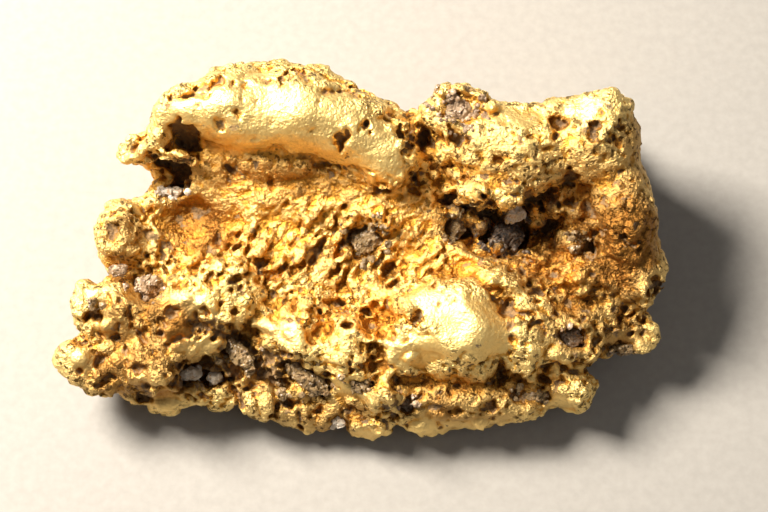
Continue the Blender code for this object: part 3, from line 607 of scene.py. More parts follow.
RIGHT_CAVITIES = (
    Cavity(((59.5, -8.7), (60.8, -7.4), (61.4, -6), (62.9, -5.1), (64, -4.7), (64.4, -5.5), (63.8, -7),
        (63.1, -8.3), (61.4, -10), (60.4, -9.8)), 5.5, 1),
    Cavity(((41.2, -18.1), (42.1, -16.6), (43.8, -16.1), (45.7, -16.8), (47, -18.5), (46.3, -19.6), (43.4,
        -19.1)), 3.2, 0.9),
    Cavity(((49.7, -19.3), (51.4, -18.7), (54.4, -18.9), (57.4, -19.6), (56.9, -20.6), (54.4, -20.6),
        (51.4, -20.2)), 2.5, 0.7),
    Cavity(((35.5, -24), (37.2, -23.6), (39.5, -22.7), (39.9, -23.4), (39.1, -24.9), (38.2, -26.1), (37.2,
        -27.4), (36.3, -26.1)), 3, 0.5),
    Cavity(((25.7, -26.8), (26.6, -26.1), (28.1, -24.9), (28.9, -23.6), (30.4, -24), (30.2, -24.9), (28.5,
        -25.9), (27.2, -27.2)), 2.6, 0.95),
    Cavity(((29.1, -9.6), (30.2, -9.6), (31.4, -11), (33.1, -11.9), (35.3, -11.5), (35.5, -12.3), (33.4,
        -13.4), (31.4, -13.2), (30.2, -14), (29.3, -12.1)), 3, 0.9),
    Cavity(((34.9, -13.4), (37, -14.2), (38.2, -15.1), (38.7, -16.6), (37.6, -17.2), (37.2, -15.7), (35.5,
        -15.9), (34.9, -17.6), (34.2, -15.9), (33.6, -14.2)), 2, 0.7),
    Cavity(((40.2, -13), (40.6, -11.9), (41.2, -11.5), (41.6, -12.3), (41.2, -13.2)), 2.2, 0.9),
    Cavity(((29.5, -29.1), (31.2, -28.5), (33.1, -28.9), (35.3, -28.7), (37.2, -29.5), (38.7, -30.8),
        (37.8, -31.9), (35.7, -31.2), (32.7, -31.2), (30.4, -30.8)), 2.2, 0.6),
    Cavity(((25.1, -35.1), (26.8, -34.2), (28.5, -33.6), (27.8, -35.3), (26.3, -35.7)), 2, 0.8),
    Cavity(((14.9, -35.9), (15.9, -34.9), (17, -35.3), (16.1, -36.8), (15.7, -37.8), (15.1, -37)), 2,
        0.9),
    Cavity(((18.1, -32.1), (18.9, -31.4), (19.3, -32.3), (18.5, -32.9)), 1.5, 0.9),
    Cavity(((9.3, -30.4), (10.4, -29.5), (12.3, -28.7), (13, -29.5), (11, -30.8), (9.3, -31.4)), 1.4,
        0.5),
)
CENTRE_CAVITIES = (
    Cavity(((-13.4, -14.2), (-11.9, -11.3), (-9.3, -11.7), (-7.2, -13.4), (-6.8, -15.9), (-8.1, -18.3),
        (-11.5, -19.1), (-13.4, -17.6)), 2.6, 0),
    Cavity(((-1.9, -13.4), (-0.8, -11.3), (1.9, -10.2), (4.5, -10.8), (6.4, -13), (6.8, -15.9), (6,
        -18.1), (2.5, -17.6), (-0.8, -17.2), (-2.1, -15.9)), 2.6, 0),
    Cavity(((-1.1, -19.8), (0, -18.5), (3, -19.1), (4.2, -21.5), (3.4, -24), (1.3, -25.3), (-0.8, -23.6),
        (-1.7, -21.7)), 2, 0),
    Cavity(((-5.5, -14.7), (-4.5, -13.8), (-2.3, -14.2), (-2.5, -15.5), (-3.8, -16.1), (-4.9, -15.9)),
        1.8, 0.8),
    Cavity(((3.6, -9.6), (4.5, -9.3), (4.7, -10.8), (5.5, -12.1), (4.9, -13), (4, -11.5)), 2, 0.8),
    Cavity(((6.8, -12.1), (7.6, -13.4), (7.2, -14.9), (6.4, -14)), 1.8, 0.7),
    Cavity(((-7.4, -11.5), (-6.2, -10.6), (-5.3, -9.6), (-4.2, -9.8), (-3.6, -11.3), (-4.5, -11.9), (-6,
        -11.7), (-6.6, -13.4), (-7.4, -13.2)), 2.6, 0.8),
    Cavity(((-9.3, -25.3), (-8.3, -24.6), (-6.8, -24.9), (-6.4, -25.7), (-7.6, -26.6), (-8.7, -26.3)),
        2.8, 0.95),
    Cavity(((-4.2, -23.6), (-3.4, -22.1), (-2.8, -23.6), (-3.4, -25.5), (-4, -24.6)), 2.4, 0.9),
    Cavity(((-2.3, -27.8), (-1.1, -27), (0.8, -26.8), (2.1, -27.4), (1.9, -28.5), (0, -28.9), (-1.3,
        -28.9)), 2.4, 0.9),
    Cavity(((-3.4, -26.8), (-2.3, -25.9), (-1.7, -26.3), (-2.5, -27.4)), 1.4, 0.8),
)
TROUGH_CAVITIES = (
    Cavity(((-16.1, 1.7), (-15.5, 3.2), (-14.7, 4.5), (-13.6, 5.7), (-13.2, 7.4), (-12.8, 8.7), (-13.4,
        8.7), (-14, 7), (-14.7, 5.3), (-15.7, 4), (-16.4, 2.5)), 1.6, 0.3),
    Cavity(((-10.6, 3.6), (-9.8, 3.6), (-9.6, 1.7), (-9.8, -0.2), (-10.6, -1.5), (-11.7, -1.1), (-11,
        1.1)), 2.2, 0.7),
    Cavity(((-13, -1.7), (-11.3, 0.2), (-10.2, -0.4), (-10.6, -1.9), (-12.1, -2.5)), 2.4, 0.8),
    Cavity(((-5.3, 3.6), (-4, 3.6), (-4.2, 1.9), (-5.1, -0.6), (-6, -2.8), (-6.6, -2.8), (-6.2, -0.2),
        (-5.5, 1.7)), 1.8, 0.35),
    Cavity(((-22.5, -6), (-21.2, -4.2), (-19.1, -2.3), (-17.6, -1.5), (-16.4, -2.3), (-16.8, -4.2),
        (-18.3, -5.1), (-20.4, -6.2), (-22.1, -6.6)), 2.2, 0.3),
    Cavity(((-24.6, -1.1), (-23.4, -0.6), (-21.7, -1.3), (-20.6, -1.7), (-21.9, -3.2), (-23.4, -3.8),
        (-24.4, -2.5)), 2.4, 0.8),
    Cavity(((-30.6, -5.3), (-28.9, -4.7), (-26.8, -5.3), (-27.2, -6.4), (-26.1, -7.4), (-27.6, -7.6),
        (-28.9, -6.4)), 2, 0.9),
    Cavity(((-26.1, -6.4), (-24.9, -5.5), (-23.8, -6.2), (-24.4, -7.4), (-25.7, -7.4)), 1.8, 0.9),
    Cavity(((-29.1, 4.7), (-27.4, 5.1), (-26.1, 3.6), (-26.6, 1.5), (-28.1, 0.6), (-29.1, 1.9)), 2, 0.1),
    Cavity(((-32.7, 3.2), (-31.9, 4.9), (-30.8, 5.5), (-30.8, 3.2), (-31.9, 1.9), (-32.7, 2.3)), 2, 0.6),
    Cavity(((-34.6, 1.1), (-33.4, 1.5), (-33.4, -0.2), (-34.4, -0.4)), 1.6, 0.7),
    Cavity(((-31.4, -0.4), (-29.8, 0.2), (-28.7, -0.6), (-30, -1.5), (-31.2, -1.3)), 1.5, 0.3),
    Cavity(((-32.1, -2.3), (-30.2, -1.7), (-28.1, -2.1), (-29.8, -3), (-31.7, -3.2)), 1.4, 0.2),
    Cavity(((-27.6, -3.6), (-26.8, -2.1), (-25.5, -1.1), (-24.4, -0.6), (-25.5, -2.3), (-26.8, -3.8),
        (-27.6, -4.7)), 1.6, 0.2),
    Cavity(((-35.1, -5.3), (-34, -4.5), (-32.9, -3.8), (-32.1, -4.7), (-32.7, -5.5), (-34.2, -6)), 1.6,
        0.4),
    Cavity(((-4, 5.3), (-3, 5.7), (-1.7, 6.2), (-0.8, 5.1), (0.4, 4), (1.3, 4.7), (1.1, 6), (2.1, 7),
        (2.8, 7.4), (3, 5.3), (3.6, 3.6), (4, 1.7), (3.2, 1.5), (2.3, 2.3), (0.8, 2.1), (0, 0.8), (-0.8,
        -0.2), (-1.9, 0), (-2.1, 1.3), (-3.4, 2.5), (-4, 3.6)), 3.4, 0.9),
    Cavity(((3.2, -5.3), (3.8, -2.3), (4.7, -1.1), (6.2, -1.1), (6.6, -3.2), (7.2, -4.9), (6.4, -7), (4.7,
        -7.4), (3.6, -6.8)), 2, 0.25),
    Cavity(((7, -2.1), (7.9, -0.6), (8.5, -2.3), (8.7, -4.5), (7.6, -4.9)), 1.4, 0.1),
    Cavity(((13.6, -1.5), (14.4, -1.3), (14.9, -3.2), (15.3, -4.7), (14.4, -4.9), (14, -3.2)), 1.4, 0.2),
    Cavity(((17.4, -0.8), (20.4, -0.2), (23.8, -1.5), (25.1, -3.2), (23.4, -4.9), (20.4, -5.5), (17.8,
        -4.2)), 1, 0.05),
    Cavity(((16.1, 3), (17, 4), (17.6, 3.6), (17, 2.1), (16.4, 1.7)), 1.8, 0.7),
    Cavity(((2.5, 14.9), (3.2, 14.9), (3.6, 13.2), (3, 13)), 1.6, 1),
    Cavity(((4, 11.7), (5.5, 12.1), (6.4, 11.3), (5.1, 11.5)), 1, 0.8),
    Cavity(((-47.4, 9.1), (-45.9, 10.6), (-43.8, 11.5), (-40.6, 11.7), (-37.4, 12.1), (-34.2, 11.7),
        (-32.3, 10), (-32.3, 7), (-34, 4.5), (-35.7, 1.9), (-38.2, 1.1), (-40.4, 0.6), (-42.7, 2.1),
        (-44.2, 4.9), (-45.9, 7), (-47.2, 7.4)), 1, 0),
    Cavity(((-44.4, 3.2), (-43.1, 4), (-41.6, 3.2), (-40.4, 1.5), (-41, 0), (-42.3, -1.7), (-43.8, -1.5),
        (-44.6, 0.6)), 2.4, 0.65),
    Cavity(((-48.2, 6.2), (-47.2, 6.2), (-46.3, 4.5), (-45.7, 3.2), (-45, 2.3), (-46.1, 2.1), (-47, 3.8),
        (-47.8, 5.1)), 2.2, 0.9),
    Cavity(((-45.7, 5.1), (-45, 4.5), (-44.2, 2.3), (-45, 2.8)), 1.4, 0.8),
)
GROOVE_CAVITIES = (
    Cavity(((-36.1, -14.2), (-34, -14.7), (-31.9, -15.9), (-28.5, -16.6), (-27.6, -18.5), (-24.6, -19.3),
        (-20.8, -20.6), (-16.8, -20.8), (-15.1, -22.7), (-13.4, -25.1), (-11.3, -27.4), (-9.3, -29.3),
        (-11.9, -28.7), (-14.4, -26.8), (-17.2, -23.4), (-19.1, -21.9), (-18.3, -25.3), (-17.4, -28.7),
        (-19.6, -27.6), (-21.7, -26.6), (-24.2, -26.6), (-24.6, -24.4), (-25.3, -21.9), (-27.6, -21),
        (-30.6, -21.5), (-32.3, -20.4), (-30.6, -18.9), (-32.7, -18.1), (-34.4, -17), (-36.1, -15.9)),
        3.6, 0.85),
    Cavity(((-29.1, -24.6), (-28.5, -23.4), (-27.2, -23.6), (-26.8, -24.9), (-27.4, -26.1), (-28.7,
        -25.9)), 2.8, 0.9),
    Cavity(((-41.2, -22.5), (-39.5, -22.9), (-37.4, -23.4), (-35.3, -22.5), (-33.6, -21.2), (-32.3,
        -21.9), (-30.6, -23.6), (-29.8, -24.6), (-30.6, -26.1), (-32.1, -27.6), (-34.2, -27.2), (-36.3,
        -26.3), (-38.9, -25.5), (-41, -24.2)), 4, 0.95),
    Cavity(((-18.1, -30.6), (-17, -30.2), (-15.9, -31.2), (-16.1, -32.5), (-17.4, -32.9), (-18.1, -31.9)),
        2.6, 1),
    Cavity(((-14.9, -32.5), (-13.6, -32.3), (-12.8, -33.8), (-13, -35.3), (-14.2, -34.6)), 2.4, 0.9),
    Cavity(((2.1, -31.7), (4.7, -31.2), (6.2, -32.1), (5.5, -33.4), (3.8, -33.8), (2.5, -32.9)), 2.2,
        0.8),
    Cavity(((-25.9, -27.2), (-23.8, -26.8), (-20.8, -26.3), (-19.1, -27.4), (-20.8, -27.2), (-23.8,
        -27.6), (-25.5, -28.1)), 1.6, 0.9),
    Cavity(((-29.3, -27.6), (-28.3, -27.4), (-27.2, -28.5), (-27.4, -30), (-28.5, -29.5), (-29.1, -28.7)),
        1.8, 0.9),
)
LEFT_CAVITIES = (
    Cavity(((-50.1, -6.2), (-49.3, -5.5), (-47.6, -5.1), (-45.9, -6), (-43.8, -5.1), (-42.7, -5.5),
        (-42.1, -6.4), (-43.1, -7.4), (-44.2, -8.9), (-46.3, -10.2), (-48, -9.6), (-49.1, -8.1)), 3, 0.8),
    Cavity(((-48, -3.6), (-47.2, -2.8), (-45.9, -3.2), (-46.1, -5.3), (-47.4, -5.3)), 1.4, 0.4),
    Cavity(((-41.6, -6), (-40.6, -4.7), (-39.3, -3.8), (-37.6, -5.5), (-37.4, -7), (-38.9, -7.9), (-40.8,
        -7.6)), 1.8, 0.3),
    Cavity(((-59.5, -12.8), (-58.2, -12.1), (-56.9, -11.9), (-55.9, -12.8), (-56.3, -14), (-57.2, -14.7),
        (-58.2, -13.8)), 3, 0.9),
    Cavity(((-58.4, -20.6), (-57.4, -20.4), (-55.9, -21.2), (-54.8, -22.1), (-55.9, -22.9), (-56.7,
        -23.8), (-57.4, -22.7), (-57.8, -21.7)), 3, 1),
    Cavity(((-54.6, -18.9), (-54, -17.2), (-52.7, -16.4), (-51.9, -16.8), (-52.5, -18.3), (-53.8, -18.9)),
        2.4, 0.9),
    Cavity(((-53.1, -14.4), (-52.1, -13.4), (-51.6, -15.5), (-52.5, -16.1)), 2, 0.8),
    Cavity(((-59.1, -19.6), (-58.2, -18.9), (-56.9, -19.1), (-57.6, -20.2), (-58.9, -20.2)), 1.6, 0.8),
    Cavity(((-43.8, -11.5), (-42.1, -11), (-39.9, -11.9), (-39.5, -12.8), (-41.2, -13.4), (-42.7, -13.2)),
        2.2, 0.9),
    Cavity(((-43.8, -13.6), (-42.7, -13.4), (-41.9, -14.9), (-42.5, -15.9), (-43.4, -15.3)), 2, 0.9),
    Cavity(((-45.3, -16.8), (-44.2, -16.1), (-43.1, -16.4), (-42.7, -17.2), (-43.8, -18.3), (-44.8,
        -17.8)), 2.6, 1),
    Cavity(((-49.7, -23.6), (-48.9, -22.5), (-47.6, -22.7), (-46.8, -24), (-47.4, -25.5), (-48.7, -25.5)),
        2.4, 0.9),
    Cavity(((-43.4, -24.9), (-42.5, -24), (-41.4, -25.3), (-42.1, -26.6), (-43.1, -25.9)), 2, 0.9),
    Cavity(((-42.7, -27.8), (-41.2, -26.6), (-39.5, -26.1), (-37.4, -26.6), (-35.5, -27.4), (-37, -28.3),
        (-38.2, -28.9), (-40.4, -28.5)), 3, 1),
    Cavity(((-49.5, -27.6), (-48, -27), (-45.7, -27.8), (-45.7, -29.8), (-46.5, -31.4), (-48, -30.4),
        (-49.3, -29.1)), 2.6, 0.9),
    Cavity(((-48.2, -31.2), (-46.8, -31.4), (-45.9, -32.5), (-47.4, -32.7)), 1.6, 0.8),
    Cavity(((-56.5, -26.1), (-54.8, -25.5), (-52.7, -25.7), (-52.5, -26.6), (-54.4, -27), (-56.1, -26.8)),
        1.4, 0.8),
    Cavity(((-36.8, -17.2), (-35.9, -16.1), (-34.6, -17), (-35.3, -18.5), (-36.3, -18.5)), 1.5, 0.8),
    Cavity(((-36.5, -29.3), (-34.6, -28.7), (-32.7, -29.1), (-32.1, -30.2), (-34.2, -30.6), (-36.1,
        -30.4)), 1.8, 0.9),
    Cavity(((-37, -31.9), (-35.3, -31), (-33.4, -31.7), (-33.1, -32.9), (-35.3, -33.6), (-36.5, -32.9)),
        1.4, 0.3),
    Cavity(((-47.8, -19.1), (-46.5, -19.8), (-44.6, -20.2), (-44.6, -20.8), (-46.3, -20.6), (-47.8,
        -19.8)), 1.6, 0.8),
    Cavity(((-56.9, -8.5), (-55.9, -7.9), (-55.2, -8.7), (-56.1, -9.3)), 1.4, 0.7),
    Cavity(((-47.2, 0.6), (-46.1, 0.6), (-46.3, -0.4), (-47.2, -0.6)), 1.6, 0.9),
    Cavity(((-48.9, -1.5), (-47.6, -1.3), (-47.4, -2.8), (-48.4, -2.3)), 1.5, 0.8),
    Cavity(((-52.3, 10.6), (-51.2, 10.4), (-51.4, 9.6), (-52.3, 10)), 1, 0.7),
    Cavity(((-54.8, 8.5), (-54, 8.9), (-54, 8.1), (-54.6, 8.1)), 1, 0.7),
    Cavity(((-52.9, 7.2), (-51.9, 7.2), (-51.9, 5.3), (-52.7, 5.5)), 1.4, 0.8),
    Cavity(((-56.9, 3.8), (-55.7, 4.7), (-55.9, 3.4), (-56.3, 2.5), (-56.9, 2.8)), 1.4, 0.8),
    Cavity(((-54.4, 0.2), (-52.9, 0.8), (-52.9, -0.2), (-54, -0.4)), 1.2, 0.6),
    Cavity(((-54.6, -2.3), (-53.5, -1.5), (-53.1, -2.8), (-54, -3.4), (-54.6, -3.2)), 1.6, 0.9),
    Cavity(((-52.9, -6.6), (-52.1, -6.2), (-52.1, -7)), 1, 0.8),
    Cavity(((-50.6, 2.3), (-48.9, 3.2), (-47.6, 3.2), (-48.4, 1.7), (-50.1, 1.3)), 1.4, 0.5),
)

CAVITIES = (
    RIDGE_CAVITIES + WINDOW_CAVITIES + TOP_CAVITIES + HOLLOW_CAVITIES + RIGHT_CAVITIES
    + CENTRE_CAVITIES + TROUGH_CAVITIES + GROOVE_CAVITIES + LEFT_CAVITIES
)
PITS = tuple(
    Spot(*pit)
    for pit in RIDGE_PITS + TOP_PITS + TROUGH_PITS + HOLLOW_PITS
    + RIGHT_PITS + CENTRE_PITS + FRONT_PITS + LEFT_PITS
)
KNOBS = tuple(
    Spot(*knob)
    for knob in LEFT_KNOBS + TOP_KNOBS + HOLLOW_KNOBS + RIGHT_KNOBS + CENTRE_KNOBS + FRONT_KNOBS
)

GROOVES = (
    Groove(((-41, 33.4), (-36, 34.6), (-32, 36.3), (-30.8, 38)), 0.9, 2.2, 0.9),
    Groove(((-10.5, 34.4), (-5, 35.2), (-2, 33.8)), 0.6, 1.2, 0.8),
    Groove(((-34, 26), (-30.5, 23.8), (-26.5, 24.9), (-20, 24), (-15.7, 22.7), (-11.9, 19.8)), 0.7, 0.7, 0.1),
    Groove(((-11.9, 19.8), (-6, 19.5), (-0.5, 17.6), (7.6, 15.5), (11.3, 13.8)), 0.8, 1.2, 0.35),
    Groove(((27, -25.6), (23.4, -24), (20, -22.2), (15.3, -21.5), (11.9, -19.8), (7.2, -22.3)), 1.2, 0.5, 0.0),
    Groove(((26.8, -7.9), (28.5, -10.8), (30.8, -14.7)), 0.7, 1.8, 0.5),
    Groove(((31.2, -17), (31.4, -19.3), (29, -22.8)), 0.7, 1.2, 0.3),
    Groove(((49.7, 30), (51, 28), (55, 27.4)), 0.6, 1.8, 0.7),
    Groove(((48.5, 27), (49.2, 24), (53.4, 24.4)), 0.6, 1.8, 0.7),
    Groove(((51.9, 22.3), (56, 20.8)), 0.5, 1.4, 0.7),
    Groove(((-37, -14.5), (-32, -15.5), (-29, -16), (-25.3, -20.6), (-21.3, -22.7), (-18.3, -26.8)), 1.8, 3.4, 0.75),
    Groove(((-19.1, -21.3), (-14, -24.9), (-7.7, -28.7)), 1.9, 3.2, 0.75),
    Groove(((-61.9, -18.9), (-58, -17.0), (-54, -18.6), (-51.2, -17.1)), 0.6, 1.5, 0.5),
    Groove(((-50.2, -19.1), (-51.6, -22.4), (-49.6, -25), (-49.7, -29.8)), 0.6, 1.5, 0.5),
    Groove(((-43, -19), (-37.4, -17)), 0.8, 1.8, 0.7),
    Groove(((-51, -10), (-50, -14), (-46.5, -19)), 0.6, 1.6, 0.6),
    Groove(((-4.5, -38), (-4.9, -34), (-3, -31.9)), 0.6, 1.6, 0.7),
    Groove(((6, -33.8), (6.4, -30.8)), 0.9, 2.4, 0.8),
    Groove(((-14, -35.9), (-14.4, -31.9), (-17.2, -30.8), (-20, -35.5)), 0.8, 2.2, 0.8),
    Groove(((-27.5, -28), (-26.5, -33)), 0.8, 1.8, 0.8),
    Groove(((48.6, -20.4), (50, -17), (55, -13.5), (60.5, -11.5)), 0.7, 1.6, 0.5),
    Groove(((38, -22.5), (44, -24.6), (48, -23.3)), 0.6, 1.4, 0.5),
    Groove(((33, -6.5), (40, -7.5), (47, -7), (53, -9)), 0.6, 1.2, 0.35),
)


# --------------------------------------------------------------------------- the gold


# Spots where the gold is darkened towards brown: partly a real brown patina, partly painted shade where the nugget
# lies in shade, as on its right side, in the trough under the ridge and in the left basin.
PATINA_AND_SHADE_SPOTS = (
    Spot(53, 3, 11, 17, 4, 1.3), Spot(37, 0, 13, 7, -12, 0.9), Spot(47, -15, 12, 8, -8, 1.0),
    Spot(22, -31, 18, 5.5, 4, 0.9), Spot(-10, -33, 14, 6, -8, 0.9), Spot(-48, -25, 15, 8, 0, 1.2), Spot(-46, -15, 13, 8, 0, 1.1),
    Spot(-24, -22, 11, 8, -30, 0.9), Spot(30, 19, 12, 5, -4, 0.4), Spot(48, 19, 12, 6, 0, 0.55), Spot(-52, 4, 5, 7, 0, 0.8),
    Spot(-36, 6, 9, 7, 10, 1.0), Spot(-19, 16.5, 20, 3.6, -8, 0.6), Spot(58, 22, 5, 9, 0, 0.9),
    Spot(22, 20, 6, 6, 0, 0.4),
)
# Spots painted deep orange in the trough, its wall and the hollows: painted shade in the colour of light bounced
# between gold walls.
BOUNCE_SHADE_SPOTS = (
    Spot(-36, 6, 8, 7, 10, 1.0), Spot(-8, 13, 26, 6.5, -8, 0.5), Spot(-8, 3, 26, 9, -8, 0.35), Spot(-9, -13, 5, 4, 0, 0.5),
    Spot(4, -12, 4.5, 5, 0, 0.5), Spot(20, 0, 7, 4, -30, 0.6), Spot(38, -2, 13, 5, -12, 0.8), Spot(-20, -3, 6, 4, 0, 0.4),
    Spot(10, 8, 8, 8, 0, 0.5), Spot(-20, 15.5, 22, 6, -8, 0.7), Spot(-6, 2, 24, 11, -8, 0.25),
)


@dataclass(frozen=True)
class Scatter:
    """Small lumps of gold strewn over one kind of surface.

    Radii are in millimetres: along the lump, across it and out of the surface. Lean turns it
    up on edge and heading points it across the face, both in degrees.
    """

    zone: Zone
    count: int
    radii: tuple[float, float, float]
    sink: float
    lean: float = 0.0
    heading: float | None = None
    fine: int = 1


SCATTERS = (
    Scatter(Zone.CRUST, 420, (2.1, 1.6, 1.3), 0.6, fine=2),
    Scatter(Zone.CRUST, 500, (0.95, 0.75, 0.6), 0.2),
    Scatter(Zone.PLATES, 130, (2.4, 1.8, 1.0), 0.6, fine=2),
    Scatter(Zone.BLADES, 210, (3.3, 0.75, 1.9), 0.4, lean=32, heading=50),
    Scatter(Zone.BLADES, 240, (1.4, 0.55, 1.0), 0.2, lean=24, heading=44),
    Scatter(Zone.SCALES, 300, (1.5, 0.9, 0.35), -0.05, lean=18, heading=-10),
)


@dataclass(frozen=True)
class Lump:
    """A lump of gold at a place in the draft frame, with its half sizes and its turn about Z."""

    middle: tuple[float, float, float]
    half: tuple[float, float, float]
    turn: float = 0.0


# Broad hollows pressed into the coarse shape: middle, half sizes, turn and depth on the face.
PRESSES = (
    Spot(36, 0.5, 13, 5.5, -12, 3.2),
    Spot(17, 3, 6, 5, -30, 1.2),
    Spot(-35, 6.5, 9, 7.5, 10, 2.2),
    Spot(22, -27.5, 14, 3, 4, 1.8),
    Spot(-4, -9, 5, 4, 0, 1.5),
    Spot(5, -3.5, 5, 4, 0, 1.0),
    Spot(21.0, -11.5, 8, 7, -15, 2.2),
    Spot(27, -9.5, 5, 3.5, -30, 1.6),
    Spot(17.5, -15, 4, 5, 30, 0.9),
    Spot(14, -25.5, 11, 4.5, -8, 2.6),
)

# Broad masses that fill the coarse shape out.
MASSES = (
    Lump((-60.9, -22.5, 0.5), (4.6, 4.6, 5.0), 0.0),
    Lump((-56.7, -26.2, -1.0), (5.0, 3.4, 4.5), -20.0),
    Lump((-59.4, -10.6, 1.0), (3.2, 5.0, 5.0), 0.0),
    Lump((-24.5, 26.8, 3.4), (11.0, 4.4, 8.4), -4.0),
    Lump((-21.0, 20.4, -3.5), (14.0, 4.5, 6.0), -6.0),
    Lump((32.4, -16.0, -1.0), (7.0, 10.0, 8.5), 10.0),
    Lump((37.3, -16.0, -2.0), (6.0, 8.0, 6.5), 10.0),
    Lump((8.9, -19.6, 0.2), (7.5, 6.4, 8.0), 12.0),
    Lump((28.6, -7.0, -2.0), (7.0, 5.0, 8.0), -20.0),
    Lump((18.0, -27.9, -4.5), (15.0, 6.0, 8.5), -6.0),
    Lump((24.5, -31.6, -6.0), (15.0, 5.0, 7.5), 2.0),
    Lump((49.5, 30.0, 2.5), (6.5, 4.5, 6.5), 0.0),
    Lump((42.5, 30.4, 0.0), (6.0, 3.0, 6.0), 0.0),
    Lump((33.6, 2.9, -15.0), (11.0, 5.5, 6.0), -5.0),
    Lump((24.7, 5.9, -12.0), (6.0, 4.0, 6.0), -5.0),
)

# Gold left standing on the floor of the right hollow, and the rim round the vein at the top.
ISLANDS = (
    Lump((22.4, 8.2, -7.5), (1.2, 1.6, 2.8), 10.0),
    Lump((24.9, 6.3, -8.0), (1.7, 0.9, 2.6), 40.0),
    Lump((19.5, 9.0, -6.0), (1.2, 1.3, 3.0), 0.0),
    Lump((43.6, 2.6, -5.0), (2.6, 3.2, 3.4), 20.0),
    Lump((36.5, 7.4, -8.0), (1.3, 2.4, 3.6), 0.0),
    Lump((40.1, 10.3, -5.0), (1.9, 2.0, 3.4), 0.0),
    Lump((38.9, -1.5, -3.5), (2.2, 1.3, 1.6), -20.0),
    Lump((34.7, -0.6, -4.5), (2.0, 1.4, 1.8), 15.0),
    Lump((47.1, 6.4, -3.5), (1.8, 2.2, 2.6), 0.0),
    Lump((28.4, 1.9, -6.5), (1.7, 1.2, 2.6), 25.0),
    Lump((31.2, -1.5, -3.5), (2.4, 1.1, 1.3), -10.0),
    Lump((46.3, -1.5, -2.5), (2.2, 1.6, 1.8), 30.0),
    Lump((42.6, -3.8, -1.8), (2.0, 1.1, 1.3), -25.0),
    Lump((16.5, 34.1, 1.5), (1.9, 1.2, 3.0), 35.0),
    Lump((20.4, 35.0, 1.2), (2.3, 1.0, 3.0), 5.0),
    Lump((24.2, 33.5, 1.5), (2.0, 1.1, 2.8), -30.0),
    Lump((26.2, 31.2, 3.0), (1.6, 1.3, 2.4), -30.0),
    Lump((15.1, 31.6, 1.0), (1.1, 1.8, 2.6), 10.0),
    Lump((18.2, 27.7, 1.8), (2.4, 1.0, 2.0), -10.0),
)

# The beak at the left end of the ridge, too thin to come through the first smoothing.
LUMPS = (
    Lump((-46.6, 22.6, 1.5), (5.6, 2.4, 3.0), 18),
    Lump((-50.6, 21.4, 0.8), (1.9, 2.0, 2.2)),
    Lump((-43.5, 25.6, 3.0), (4.5, 2.6, 3.4), 40),
    Lump((-40.5, 21.0, 3.0), (4.6, 0.9, 2.6), -14),
)


def basis(out: Vector, heading: float) -> Matrix:
    """A turn that stands Z along out and lays X along a heading across the face.

    Args:
        out: The way that Z shall point.
        heading: The way that X shall point as near as it can, in radians from the draft x.
    """
    ahead = Vector((math.cos(heading), math.sin(heading), 0))
    ahead = (ahead - out * ahead.dot(out)).normalized()
    return Matrix((ahead, out.cross(ahead), out)).transposed().to_4x4()


